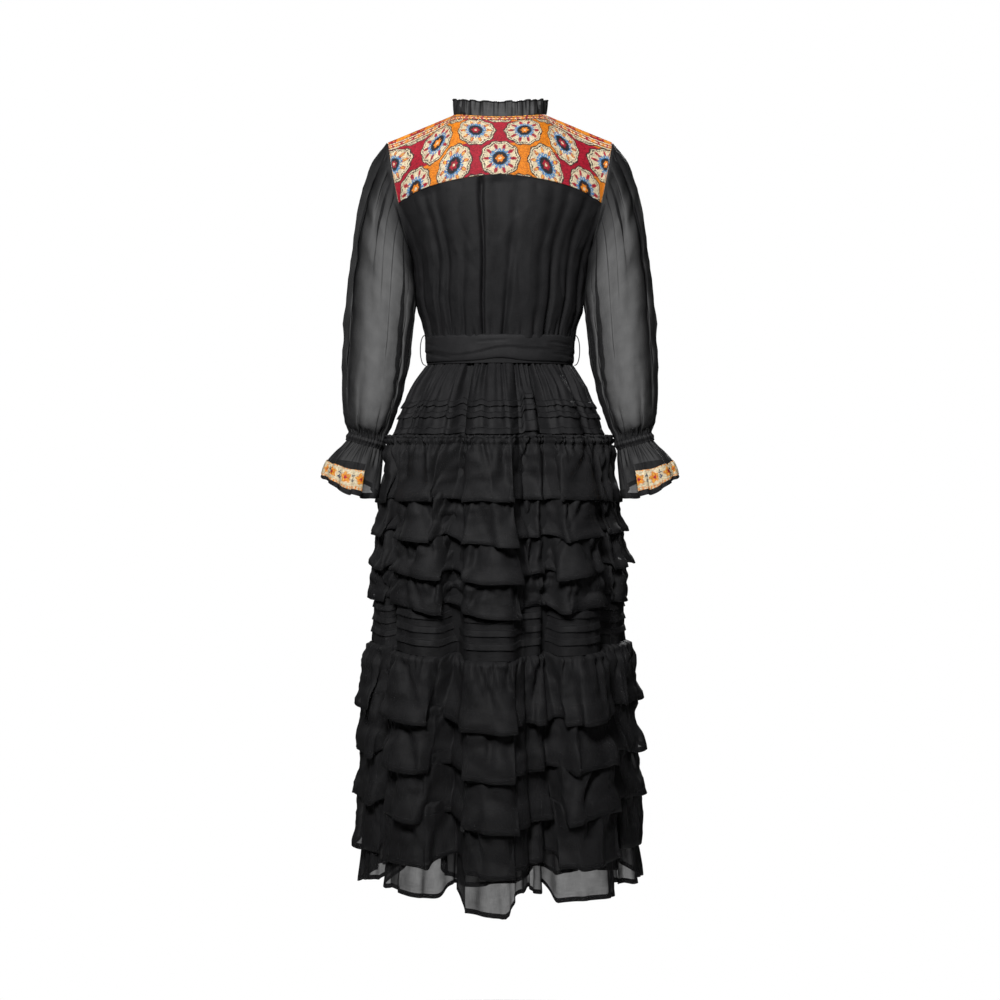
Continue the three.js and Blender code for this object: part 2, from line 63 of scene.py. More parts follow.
CAMERA = {"distance": 4.6, "height": -0.649, "width": 1.7}  # metres; width is what it sees at the origin
SENSOR = 36
FLOOR = {"z": -1.85, "radius": 1.9, "sides": 96}
AIM = (0, 0, -0.3)
LIGHTS = table(
    "name place size power spread",
    ("key", (0.6, 2.7, 1.25), 1.2, 34, 70),
    ("fill", (-2.6, 3.2, 0.6), 1.6, 12, 180),
    ("top", (-0.5, 0.9, 2.2), 1.0, 15, 180),
    ("front_key", (-0.6, -2.7, 1.25), 1.2, 34, 70),
    ("front_fill", (2.6, -3.2, 0.6), 1.6, 12, 180),
)
SEEN_BACKGROUND = 1.0
LIT_BACKGROUND = 0.015


def link(thing):
    bpy.context.scene.collection.objects.link(thing)
    return thing


def make_camera():
    data = bpy.data.cameras.new("camera")
    data.sensor_width = SENSOR
    data.lens = SENSOR * CAMERA["distance"] / CAMERA["width"]
    camera = link(bpy.data.objects.new("camera", data))
    camera.location = (0, CAMERA["distance"], CAMERA["height"])
    camera.rotation_euler = (math.radians(90), 0, math.radians(180))
    bpy.context.scene.camera = camera


def make_world():
    """A white room: full white where it is looked at, dimmer where it lights the cloth."""
    world = bpy.data.worlds.new("studio")
    bpy.context.scene.world = world
    world.use_nodes = True
    nodes, links = world.node_tree.nodes, world.node_tree.links
    background = nodes["Background"]
    background.inputs["Color"].default_value = (1, 1, 1, 1)
    path = nodes.new("ShaderNodeLightPath")
    strength = nodes.new("ShaderNodeMapRange")
    strength.inputs["To Min"].default_value = LIT_BACKGROUND
    strength.inputs["To Max"].default_value = SEEN_BACKGROUND
    links.new(path.outputs["Is Camera Ray"], strength.inputs["Value"])
    links.new(strength.outputs["Result"], background.inputs["Strength"])


def make_lights():
    for row in LIGHTS:
        data = bpy.data.lights.new(row["name"], "AREA")
        data.shape = "DISK"
        data.size = row["size"]
        data.energy = row["power"]
        data.spread = math.radians(row["spread"])
        light = link(bpy.data.objects.new(row["name"], data))
        light.location = row["place"]
        away = light.location.copy()
        for axis in range(3):
            away[axis] -= AIM[axis]
        light.rotation_euler = away.to_track_quat("Z", "Y").to_euler()


def make_floor():
    turns = np.linspace(0, 2 * np.pi, FLOOR["sides"], endpoint=False)
    rim = [(FLOOR["radius"] * math.cos(t), FLOOR["radius"] * math.sin(t), FLOOR["z"]) for t in turns]
    mesh = bpy.data.meshes.new("floor")
    mesh.from_pydata(rim, [], [list(range(len(rim)))])
    material = bpy.data.materials.new("pale_floor")
    material.use_nodes = True
    shader = material.node_tree.nodes["Principled BSDF"]
    shader.inputs["Base Color"].default_value = (0.9, 0.9, 0.9, 1)
    shader.inputs["Roughness"].default_value = 0.9
    mesh.materials.append(material)
    link(bpy.data.objects.new("floor", mesh))


make_camera()
make_world()
make_lights()
make_floor()
bpy.context.scene.view_settings.view_transform = "Standard"
bpy.context.scene.cycles.transparent_max_bounces = 48

# ---- The dress's sizes ----

WALL = 1.2
GAP = 0.3
BODICE_HEM = -378
BELT_TOP = -372
BELT_BOTTOM = -417
WAIST_SEAM = -420
SKIRT_TOP = -421
FRILL_SEAM = -546
BAND_TOP = -818
BAND_BOTTOM = -906
HEM = -1308

# The trunk: half its width, and its depth behind and in front of the origin
TRUNK = table(
    "z half back front",
    (-60, 198, 92, 84),
    (-110, 194, 102, 98),
    (-150, 188, 107, 110),
    (-190, 168, 109, 121),
    (-237, 150, 107, 126),
    (-317, 140, 97, 112),
    (-378, 123, 88, 94),
    (-421, 124, 89, 95),
)

# The skirt under its ruffles. rise lifts its sides, fold is how far the
# folds stand in and out, and drop how much lower a fold's ridge hangs.
SKIRT = table(
    "z half back front rise fold drop",
    (-421, 126, 91, 97, 0, 1.5, 0),
    (-447, 145, 112, 110, 0, 7, 0),
    (-546, 182, 160, 148, 3, 12, 1),
    (-633, 190, 172, 162, 9, 16, 2),
    (-702, 196, 178, 170, 14, 15, 3),
    (-818, 209, 190, 184, 16, 17, 4),
    (-906, 213, 196, 191, 22, 18, 5),
    (-987, 218, 201, 196, 30, 20, 6),
    (-1061, 221, 205, 200, 34, 22, 7),
    (-1200, 226, 210, 207, 28, 24, 10),
    (-1308, 236, 219, 216, 14, 23, 17),
)

# The skirt's folds, at its top and at its hem: a ridge has out above 0 and a valley below.
FOLDS = table(
    "top low out low_out",
    (5, 0, 1, 1),
    (22, 21, -1, -1),
    (42, 40, 0.9, 0.9),
    (62, 54, -0.8, -0.8),
    (77, 71, 0.5, 0.55),
    (92, 87, -0.4, -0.4),
    (112, 112, 0.5, 0.3),
    (140, 150, -0.8, -0.8),
    (166, 167, 0.8, 0.8),
    (192, 198, -0.9, -0.9),
    (222, 220, 0.9, 0.9),
    (250, 250, -0.7, -0.7),
    (281, 283, 0.2, 0.3),
    (306, 302, -0.7, -0.3),
    (321, 322, 0.9, 0.9),
    (335, 341, -1.2, -1.1),
    (342, 346, -0.5, -0.1),
    (349, 351, -0.7, 0.6),
)
RIDGE_FLARE = 0.3  # how much further a cloth that stands off the skirt does so on its ridges
RIDGE_WIDTH = 0.2  # how much broader a ridge is than a valley
UNDER = 0.07  # how far a fold's sides turn in behind its ridge
ROUND = 1.8  # how round a ridge is
LEVEL_TO = 0.4  # how far off a ridge its hem hangs level, as a share of the way to the valley
VALLEY_DEEP = 0.9  # how much deeper a valley is than a ridge is high
# How much higher the skirt's hem hangs than its ridges and valleys alone would put it
HEM_LINE = table(
    "angle up",
    (0, 0), (21, 12), (42, 31), (60, 30), (90, 11), (120, 20), (140, 12), (155, 2), (167, -17),
    (180, -12), (202, 4), (220, 16), (240, 20), (270, 14), (288, 11), (304, 10), (318, 18), (339, 16),
    (348, 28), (354, 30), (360, 0),
)

# The ruffles, from the top: the heights of their seams and hems at the centre back,
# how far their hems stand out, how much their sides lift, how much lower a ridge of
# the skirt hangs in their hems, and how round they stand out below their seams
RUFFLES = table(
    "top hem flare rise drop puff",
    (-546, -649, 4, 3, 4, 3.5),
    (-633, -716, 7, 20, 8, 3.5),
    (-702, -777, 9, 27, 8, 3.5),
    (-764, -832, 3, 27, 8, 3.5),
    (-906, -1018, 13, 40, 9, 8),
    (-987, -1096, 7, 38, 9, 3.5),
    (-1061, -1176, 6, 44, 12, 3.5),
    (-1141, -1243, 2, 27, 15, 3.5),
)
CORNERS = {"angles": [71, 283], "wide": 13, "drop": 6}  # where the ruffles hang lower, at the sides
RUFFLE_WAVE = {"long": 46, "small": 17, "pucker": 5.2, "lap": 0.17}  # half waves, and how far they turn in
RUFFLE_TUCK = 0.12  # how much further a ruffle's folds turn in behind their ridges at its hem
SHIRRED_DEEPER = 1.35  # how much deeper the long gathers of the shirred ruffle are
# How far a ruffle's waves stand out at its hem, long and small, and its puckers and puffs at a heading; how
# far its hem is uneven and hangs down where a wave stands out, and how far its cloth shifts round
RUFFLE_DEEP = {"long": 10, "small": 2, "pucker": 3.4, "puff": 3.6, "uneven": 2.5, "down": 3, "round": 3.2}
HEM_TURN = 7  # the depth of a turned hem
# The heights of the tucks' edges
SKIRT_TUCKS = [-494, -513, -540]
BAND_TUCKS = [-845, -867, -889]
DEEPEST = 17  # the deepest that the skirt's gathers go where several meet
RADIUS = {"top": 150, "band": 205, "lower": 215, "bodice": 140}  # about how far out each cloth is
TUCK_STEP = {"lift": 13, "from": (335, 337.5), "to": (345, 348)}  # where a fold lifts the hip's tucks
# The lower skirt's waves: the height they begin at, their half waves, and how far they turn in
LOWER_WAVE = {"from": -1000, "long": 34, "small": 15, "lap": 0.15}

# The slip's sections, like the trunk's
SLIP = table(
    "z half back front",
    (-425, 118, 83, 89),
    (-560, 166, 138, 128),
    (-1085, 180, 158, 154),
)

NECK = {"half": 79, "back": 62, "front": 72, "side_z": 4, "back_z": -6, "front_z": -40}
SHOULDER = {"x": 190, "z": -42}
YOKE_ANGLE = 65  # how far round the trunk a yoke's lower seam runs, towards the armhole
BACK_YOKE = {"centre": -107, "end": -150, "notch": 96}
FRONT_YOKE = {"centre": -108, "end": -132, "notch": 86}
NECK_SHARE = 0.5
ROUNDING = 0.75
ARMHOLE = {"x": 170, "z": -139.5, "lean": 20, "bulge": 3, "high": 97.5, "deep": 50}
PLACKET_HALF = 11

# The left sleeve's sections: its outer and inner edges, half its depth and how far back it is
SLEEVE = table(
    "out_x out_z in_x in_z deep y",
    (190, -42, 150, -237, 50, 0),
    (217, -72, 154, -262, 56, 0),
    (240, -139, 150, -292, 60, 0),
    (255, -235, 148, -330, 62, 1),
    (266, -350, 152, -400, 62, 3),
    (270, -455, 164, -466, 60, 7),
    (265, -513, 182, -520, 47, 12),
    (256, -537, 195, -553, 29, 16),
)
SLEEVE_START = 2.6
WRIST = np.array([0.346, 0.12, -0.93])
ELASTIC_HEIGHT = 8
CUFF = table(
    "out_x out_z in_x in_z deep y tilt",
    (286, -583, 204, -598, 40, 26, 7),
    (292, -611, 212, -641, 49, 36, 14),
)

BELT_OUT = 2.4  # about how far the belt stands off the trunk
BELT_ROWS = 22
TAIL_TURN = 166  # where the ridge is that the belt's ends hang in front of, in degrees
TAIL_COLUMNS = 14
# The belt's ends: how far they stand off the skirt, and how far from the centre their edges are
TAIL = table(
    "z out near far",
    (-416, 0, 1.5, 14),
    (-470, 5, 3, 36),
    (-550, 7, 6, 46),
    (-640, 17, 9, 51),
    (-712, 21, 11, 54),
    (-750, 23, 12, 55),
)
KNOT = {"half": 17, "deep": 9, "high": 20}
LOOP = {"radius": 0.8, "out": 9, "beyond": 3}

# ---- Curves and waves ----

ALONG_SEAM = np.zeros((1, 1))  # no distance from a seam, for what is the same all the way down
RIPPLE = {"spread": 0.4, "terms": 7}  # how far the counts of its waves differ, and how many it adds up


def through(keys, values, at):
    """A smooth curve through (keys, values), read at any places between the first key and the last."""
    keys, values = np.asarray(keys, float), np.asarray(values, float)
    slopes = np.gradient(values, keys)
    i = np.clip(np.searchsorted(keys, at, side="right") - 1, 0, len(keys) - 2)
    width = keys[i + 1] - keys[i]
    t = (at - keys[i]) / width
    a, b = values[i], values[i + 1]
    bend = (1 - 2 * t) * (b - a) + width * (slopes[i] * (t - 1) + slopes[i + 1] * t)
    return a + (b - a) * t + t * (t - 1) * bend


def column(rows, name):
    return np.array([row[name] for row in rows], float)


def at_height(rows, name, z):
    """A column of a table that runs downwards, at any heights."""
    return through(-column(rows, "z"), column(rows, name), -np.asarray(z, float))


def mix(a, b, share):
    return a + (b - a) * share


def smoothstep(low, high, value):
    t = np.clip((value - low) / (high - low), 0, 1)
    return t * t * (3 - 2 * t)


def section(rows, z):
    """Half the width, and the depths behind and in front, of a table's sections at any heights."""
    return [at_height(rows, name, z) for name in ("half", "back", "front")]


def unit(vectors):
    return vectors / np.linalg.norm(vectors, axis=-1, keepdims=True)


def oval(half, back, front, angle, out, z):
    """Points on oval sections, moved out square to them. Any argument may be an array."""
    s, c = np.sin(np.radians(angle)), np.cos(np.radians(angle))
    deep = np.where(c > 0, back, front)
    nx, ny = s / half, c / deep
    size = np.hypot(nx, ny)
    x, y = half * s + nx / size * out, deep * c + ny / size * out
    return np.stack(np.broadcast_arrays(x, y, z), axis=-1)


def ripple(turn, seed, cycles):
    """A smooth uneven wave round a ring, from about -1 to 1. turn goes from 0 to 1 round it."""
    spread, terms = RIPPLE["spread"], RIPPLE["terms"]
    rng = np.random.default_rng(seed)
    total = np.zeros_like(turn)
    for _ in range(terms):
        count = max(1, round(cycles * rng.uniform(1 - spread, 1 + spread)))
        total = total + rng.uniform(0.5, 1) * np.cos(2 * np.pi * (count * turn + rng.uniform()))
    return total / (0.75 * math.sqrt(terms) * 1.4)


# Gathers by place: how far apart they are, how far they reach, how deep
# and wide they are, how much they widen and may slant on their way down
GATHERS = table(
    "place spacing reach depth width widen slant",
    ("ruffle_fine", 10, (25, 60), 5, 2.0, 0.06, 0.2),
    ("ruffle_middle", 18, (60, 160), 9.5, 2.4, 0.09, 0.4),
    ("ruffle_long", 36, (150, 300), 11, 3.2, 0.08, 0.35),
    ("top_fine", 10, (25, 80), 3.0, 1.8, 0.02, 0.06),
    ("top_middle", 20, (60, 240), 9.5, 2.5, 0.024, 0.07),
    ("top_long", 33, (240, 420), 14, 3.2, 0.022, 0.06),
    ("bodice_seam", 34, (15, 50), 1.6, 2.6, 0.06, 0.12),
    ("bodice_belt", 19, (15, 60), 3.4, 2.0, 0.08, 0.25),
    ("sleeve_head", 12, (60, 260), 4.5, 2.8, 0.05, 0.08),
    ("sleeve_wrist", 9, (25, 130), 7.0, 2.2, 0.06, 0.12),
    ("cuff", 8, (25, 90), 5, 1.6, 0.05, 0.15),
    ("elastic", 5, (40, 41), 2.6, 1.0, 0, 0),
)
GATHERS_AT = {row["place"]: row for row in GATHERS}


def gathers(arc, round_it, drop, seed, place_name):
    """Gathers that run down from a seam: narrow troughs between rounder ridges, each of its own length and
    depth. arc is the distance along the seam and drop the distance from it. The result is 0 or below."""
    kind = GATHERS_AT[place_name]
    rng = np.random.default_rng(seed)
    total = np.zeros(np.broadcast(arc, drop).shape)
    place = rng.uniform(0, kind["spacing"])
    while place < round_it:
        long = rng.uniform(*kind["reach"]) * rng.uniform(0.5, 1)
        deep = kind["depth"] * rng.uniform(0.45, 1)
        aside = place + rng.uniform(-kind["slant"], kind["slant"]) * drop
        off = (arc - aside + round_it / 2) % round_it - round_it / 2
        across = kind["width"] * rng.uniform(0.7, 1.3) + kind["widen"] * drop
        fade = 1 - smoothstep(0.15, 1, drop / long)
        total = total - deep * fade * np.exp(-((off / across) ** 2))
        place += kind["spacing"] * rng.uniform(0.55, 1.45)
    return total


def flutes(arc, round_it, seed, half_wave):
    """An uneven wave along a hem, through ridges and valleys of their own
    heights. The first result is the wave, from -1 to 1. The second is how
    far its sides turn in behind its ridges, as a share of a half wave."""
    rng = np.random.default_rng(seed)
    count = 2 * round(round_it / half_wave / 2)
    ends = np.cumsum(rng.uniform(0.55, 1.45, count))
    ends = np.concatenate([[0], ends / ends[-1] * round_it])
    heights = rng.uniform(0.35, 1, count) * np.where(np.arange(count) % 2, -1, 1)
    heights = np.append(heights, heights[0])
    i = np.clip(np.searchsorted(ends, arc % round_it, side="right") - 1, 0, count - 1)
    share = (arc % round_it - ends[i]) / (ends[i + 1] - ends[i])
    steep = np.abs(heights[i] - heights[i + 1]) / 2
    return mix(heights[i], heights[i + 1], (1 - np.cos(np.pi * share)) / 2), np.sin(2 * np.pi * share) * steep


def lattice_noise(u, v, count, seed):
    """Smooth noise from about -0.7 to 0.7, one lump to each
    unit. u repeats after a whole count of units."""
    rng = np.random.default_rng(seed)
    u, v = np.broadcast_arrays(u, v - np.min(v))
    turns = rng.uniform(0, 2 * np.pi, (int(v.max()) + 2, count))
    i, j = np.floor(u).astype(int), np.floor(v).astype(int)
    s, t = u - i, v - j

    def corner(di, dj):
        turn = turns[j + dj, (i + di) % count]
        return (s - di) * np.cos(turn) + (t - dj) * np.sin(turn)

    ease_s, ease_t = s**3 * (s * (6 * s - 15) + 10), t**3 * (t * (6 * t - 15) + 10)
    return mix(mix(corner(0, 0), corner(1, 0), ease_s), mix(corner(0, 1), corner(1, 1), ease_s), ease_t)


# Crushed cloth by place: how large its facets are, how much its creases lean, and how deep they are
CRUSHED = table(
    "place size lean deep",
    ("ruffle", 42, 0.6, 2.4),
    ("ruffle_small", 18, 0.4, 0.7),
    ("top", 26, 0.0, 1.5),
    ("top_tucks", 22, 0.0, 2),
    ("band", 30, 0.0, 2.2),
    ("lower", 30, 0.3, 3),
    ("bodice", 44, 0.4, 2.2),
    ("sleeve", 55, 0.3, 3),
)
CRUSHED_AT = {row["place"]: row for row in CRUSHED}


def crumple(arc, whole, drop, seed, place_name):
    """The relief of crushed cloth: soft facets, with sharper creases between."""
    kind = CRUSHED_AT[place_name]
    size, lean = kind["size"], kind["lean"]
    count = max(3, round(whole / size))
    u, v = arc / whole * count, drop / size
    bend = lattice_noise(u, v, count, seed) * 0.9
    valleys = np.abs(lattice_noise(u + lean * v + bend, v, count, seed + 1))
    ridges = np.abs(lattice_noise(u - lean * v - bend + 0.5, v * 1.3, count, seed + 2))
    return (valleys - ridges) * 2.2 * kind["deep"]


# ---- Meshes from grids ----

MAP = {"turns": 720, "step": 3.0, "rows": 480, "top": 60}  # azimuths, and heights in steps down from a top


def map_place(grid):
    """Where points lie on a map of the dress by azimuth and
    height, and how far they are from its middle line."""
    turn = np.degrees(np.arctan2(grid[..., 0], grid[..., 1])) % 360 / 360 * MAP["turns"]
    row = np.clip((MAP["top"] - grid[..., 2]) / MAP["step"], 0, MAP["rows"] - 1)
    return turn.astype(int) % MAP["turns"], row.astype(int), np.hypot(grid[..., 0], grid[..., 1])


def add_to_map(under, grid):
    """Raise a map of how far out the cloth reaches to hold one more cloth, and its near surroundings."""
    turn, row, reach = map_place(grid)
    for aside in (-2, -1, 0, 1, 2):
        for down in (-1, 0, 1):
            place = (turn + aside) % MAP["turns"], np.clip(row + down, 0, MAP["rows"] - 1)
            np.maximum.at(under, place, reach)


# How far off the cloth under it a cloth is pushed, and the most that it moves
OVER = {"clear": 2.0, "most": 22}


def laid_over(grid, under):
    """A closed grid pushed out wherever it would be nearer than the cloth under it."""
    turn, row, reach = map_place(grid)
    need = np.clip(under[turn, row] + OVER["clear"] - reach, 0, OVER["most"])
    wide = np.maximum.reduce([np.roll(need, k, axis=1) for k in range(-3, 4)])
    tall = np.maximum.reduce([wide, np.vstack([wide[:1], wide[:-1]]), np.vstack([wide[1:], wide[-1:]])])
    for _ in range(2):
        tall = sum(np.roll(tall, k, axis=1) for k in range(-5, 6)) / 11
        tall = (np.vstack([tall[:1], tall[:-1]]) + tall * 2 + np.vstack([tall[1:], tall[-1:]])) / 4
    grid = grid.copy()
    grid[..., :2] *= (1 + tall / reach)[..., None]
    return grid


def grid_normals(grid, closed):
    """The direction square to a grid of points: outwards where its
    rows run down and its columns run clockwise, seen from above."""
    if closed:
        across = np.roll(grid, -1, axis=1) - np.roll(grid, 1, axis=1)
    else:
        across = np.gradient(grid, axis=1)
    down = np.gradient(grid, axis=0)
    normal = np.cross(across, down)
    return normal / np.maximum(np.linalg.norm(normal, axis=-1, keepdims=True), 1e-9)


def hemmed(grid, closed, layer=0.55):
    """A grid whose last two rows are turned in twice as a hem, on the side that its normals face away
    from."""
    square = -grid_normals(grid, closed) * layer
    over, edge = grid[-2:-1], grid[-1:]
    down = unit(edge - over)
    turned = [
        edge + square[-1:] + down * layer / 2,
        edge + square[-1:] * 2,
        over + square[-2:-1] * 2,
        over + square[-2:-1] - down * layer,
        edge + square[-1:] - down * layer,
    ]
    return np.concatenate([grid, *turned])


def lengths(grid, axis):
    """Distances along a grid from its first row or column, as an average of the others."""
    steps = np.linalg.norm(np.diff(grid, axis=axis), axis=-1).mean(axis=1 - axis)
    return np.concatenate([[0], np.cumsum(steps)])


def make_mesh(name, points, faces, material):
    """A smooth mesh through points in millimetres."""
    mesh = bpy.data.meshes.new(name)
    mesh.from_pydata((points * MM).tolist(), [], faces)
    mesh.polygons.foreach_set("use_smooth", np.ones(len(faces), bool))
    mesh.materials.append(material)
    mesh.update()
    return link(bpy.data.objects.new(name, mesh))


def paint_points(piece, colours):
    """Give each point of a mesh a colour: its thread's, or for an embroidery's ground the thread's darkened as
    painted shade.
    """
    paint = piece.data.color_attributes.new("thread", "FLOAT_COLOR", "POINT")
    rgba = np.ones((len(colours), 4))
    rgba[:, :3] = colours
    paint.data.foreach_set("color", rgba.astype(np.float32).ravel())


def make_sheet(name, grid, material, closed=False, wrap=False):
    """A smooth mesh through a grid of points. A closed grid joins its last
    column to its first, and a wrapped one its last row to its first. Its UV
    map holds true distances, in metres, across and up from the last row."""
    rows, columns = grid.shape[:2]
    ring = np.concatenate([grid, grid[:, :1]], axis=1) if closed else grid
    tube = np.concatenate([ring, ring[:1]], axis=0) if wrap else ring
    across, down = lengths(tube, 1) * MM, lengths(tube, 0) * MM
    r, c = np.meshgrid(np.arange(tube.shape[0] - 1), np.arange(tube.shape[1] - 1), indexing="ij")
    corners = [(r, c), (r, c + 1), (r + 1, c + 1), (r + 1, c)]
    faces = np.stack([(a % rows) * columns + b % columns for a, b in corners], axis=-1).reshape(-1, 4)
    uvs = np.stack([np.stack([across[b], down[-1] - down[a]], axis=-1) for a, b in corners], axis=2)
    piece = make_mesh(name, grid.reshape(-1, 3), faces.tolist(), material)
    layer = piece.data.uv_layers.new(name="cloth")
    layer.data.foreach_set("uv", uvs.astype(np.float32).ravel())
    return piece


def set_fullness(piece, values):
    """How many folds too fine to see lie over each other at each point of a sheer cloth."""
    layer = piece.data.attributes.new("fullness", "FLOAT", "POINT")
    layer.data.foreach_set("value", np.broadcast_to(values, (len(piece.data.vertices),)).astype(np.float32))


def dress_piece(piece, slot, *nodes):
    """A piece of the dress that stands for CAD nodes."""
    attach(piece, BODY)
    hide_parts(*nodes)


def cloth_piece(name, grid, material, slot, closed=True, wrap=False):
    """The cloth of a CAD node: a sheet through a grid, which takes the node's place on the body."""
    piece = make_sheet(f"{name}_cloth", grid, material, closed, wrap)
    dress_piece(piece, slot, name)
    return piece


MIRROR = np.array([-1, 1, 1])


def mirrored(grid):
    """The same cloth on the right side, its columns still clockwise."""
    return (grid * MIRROR)[:, ::-1]


# ---- Materials ----


class Nodes:
    """Short calls for the nodes of a material."""

    def __init__(self, name):
        self.material = bpy.data.materials.new(name)
        self.material.use_nodes = True
        self.tree = self.material.node_tree
        self.shader = self.tree.nodes["Principled BSDF"]

    def add(self, kind, inputs=(), **settings):
        node = self.tree.nodes.new(kind)
        for name, value in settings.items():
            setattr(node, name, value)
        for socket, value in dict(inputs).items():
            self.set(node.inputs[socket], value)
        return node

    def set(self, socket, value):
        if isinstance(value, bpy.types.NodeSocket):
            self.tree.links.new(value, socket)
        else:
            socket.default_value = value

    def math(self, operation, a, b=0.0):
        return self.add("ShaderNodeMath", {0: a, 1: b}, operation=operation).outputs[0]

    def noise(self, vector, scale, detail=2.0, roughness=0.5):
        inputs = {"Vector": vector, "Scale": scale, "Detail": detail, "Roughness": roughness}
        return self.add("ShaderNodeTexNoise", inputs).outputs["Fac"]

    def between(self, fac, a, b):
        """A colour between two, by a factor."""
        node = self.add("ShaderNodeMix", data_type="RGBA")
        self.set(node.inputs["Factor"], fac)
        self.set(node.inputs["A"], (*a, 1))
        self.set(node.inputs["B"], (*b, 1))
        return node.outputs["Result"]

    def sheen(self, roughness, gloss):
        self.set(self.shader.inputs["Roughness"], roughness)
        self.set(self.shader.inputs["Specular IOR Level"], gloss)

    def bump(self, height, strength, depth):
        """Relief of a depth in metres."""
        node = self.add("ShaderNodeBump", {"Height": height, "Strength": strength, "Distance": depth})
        self.set(self.shader.inputs["Normal"], node.outputs[0])

    def stretch(self, vector, scale):
        return self.add("ShaderNodeMapping", {"Vector": vector, "Scale": scale}).outputs[0]


# Threads per metre, how rough and shiny the cloth is, how its yarns thicken, how large its clouds and its
# grain are, and how strong and deep its relief is
WEAVE = {"threads": 1400, "roughness": 0.6, "gloss": 0.06, "slub": (900, 60, 1), "pick": (60, 900, 1)}
WEAVE.update(cloud=45, crepe=700, relief=0.35, depth=0.0004)
OPEN = {"slant": 0.15, "uneven": 0.35, "least": 0.02}  # how light comes through sheer cloth


def cloth_material(name, dark, light, grain=0.25, cover=1.0, gathered=False):
    """Woven cloth. grain is how uneven its threads are, and cover how much of the light
    it stops facing on; it stops more seen at a slant, and where it is gathered."""
    n = Nodes(name)
    uv = n.add("ShaderNodeUVMap").outputs[0]
    slub = n.noise(n.stretch(uv, WEAVE["slub"]), 1, 3)
    pick = n.noise(n.stretch(uv, WEAVE["pick"]), 1, 3)
    cloud = n.noise(uv, WEAVE["cloud"], 3)
    yarns = n.math("MULTIPLY", n.math("ADD", slub, pick), 0.5)
    tone = n.math("ADD", n.math("MULTIPLY", yarns, 0.6), n.math("MULTIPLY", cloud, 0.4))
    contrast = n.add("ShaderNodeMapRange", {"Value": tone, "From Min": 0.38, "From Max": 0.62}).outputs[0]
    n.set(n.shader.inputs["Base Color"], n.between(contrast, dark, light))
    n.sheen(WEAVE["roughness"], WEAVE["gloss"])
    wave = {"Vector": uv, "Scale": WEAVE["threads"] * math.pi / 10, "Distortion": 0.6}
    warp, weft = (n.add("ShaderNodeTexWave", wave, bands_direction=way).outputs["Fac"] for way in "XY")
    threads = n.math("MULTIPLY", n.math("ADD", warp, weft), 0.5)
    crepe = n.noise(uv, WEAVE["crepe"], 4, 0.6)
    height = n.math("ADD", n.math("MULTIPLY", threads, 0.4), n.math("MULTIPLY", crepe, grain * 4))
    n.bump(height, WEAVE["relief"], WEAVE["depth"])
    if cover < 1:
        facing = n.add("ShaderNodeLayerWeight", {"Blend": 0.5}).outputs["Facing"]
        straight = n.math("MAXIMUM", n.math("SUBTRACT", 1.0, facing), OPEN["slant"])
        uneven = n.math("MULTIPLY", n.math("SUBTRACT", tone, 0.5), OPEN["uneven"])
        open_part = n.math("SUBTRACT", 1 - cover, uneven)
        layers = n.math("DIVIDE", 1.0, straight)
        if gathered:
            fullness = n.add("ShaderNodeAttribute", attribute_name="fullness").outputs["Fac"]
            layers = n.math("MULTIPLY", layers, fullness)
        through_it = n.math("POWER", n.math("MAXIMUM", open_part, OPEN["least"]), layers)
        n.set(n.shader.inputs["Alpha"], n.math("SUBTRACT", 1.0, through_it))
    return n.material


CREPE = cloth_material("black_crepe", (0.006, 0.006, 0.0064), (0.01, 0.0098, 0.0104), grain=0.3)
BELT_CLOTH = cloth_material("belt_cloth", (0.0085, 0.0085, 0.009), (0.013, 0.0127, 0.0134), grain=0.2)
GEORGETTE = cloth_material("black_georgette", (0.007, 0.007, 0.0074), (0.011, 0.0108, 0.0114), cover=0.84)
CHIFFON_COLOURS = (0.007, 0.007, 0.0074), (0.012, 0.012, 0.0125)
CHIFFON = cloth_material("black_chiffon", *CHIFFON_COLOURS, cover=0.65, gathered=True)
FRILL_CLOTH = cloth_material("frill_cloth", (0.008, 0.008, 0.0085), (0.014, 0.014, 0.0145), cover=0.93)
SLIP_CLOTH = cloth_material("slip_cloth", (0.005, 0.005, 0.0054), (0.008, 0.008, 0.0084), grain=0.1)

# ---- Skirt ----


def fold_columns(count):
    """Columns round the skirt, shared among its folds. Each has the fold that it
    follows, its share of the way to the next, and which of the two is the ridge."""
    angles = column(FOLDS, "top")
    spans = (np.roll(angles, -1) - angles) % 360
    each = np.maximum(np.round(count * (spans + 6) / (360 + 6 * len(FOLDS))).astype(int), 8)
    index = np.repeat(np.arange(len(FOLDS)), each)
    outs = column(FOLDS, "out")
    return {
        "fold": index,
        "next": (index + 1) % len(FOLDS),
        "share": np.concatenate([np.arange(n) / n for n in each]),
        "side": np.sign(outs - np.roll(outs, -1))[index],
    }


def between_folds(top, low, z, columns):
    """A column of FOLDS, for each column of the skirt and the next, at a height."""
    share = np.clip((SKIRT[2]["z"] - z) / (SKIRT[2]["z"] - HEM), 0, 1)
    values = mix(column(FOLDS, top)[None], column(FOLDS, low)[None], share.reshape(-1, 1))
    return values[:, columns["fold"]], values[:, columns["next"]]


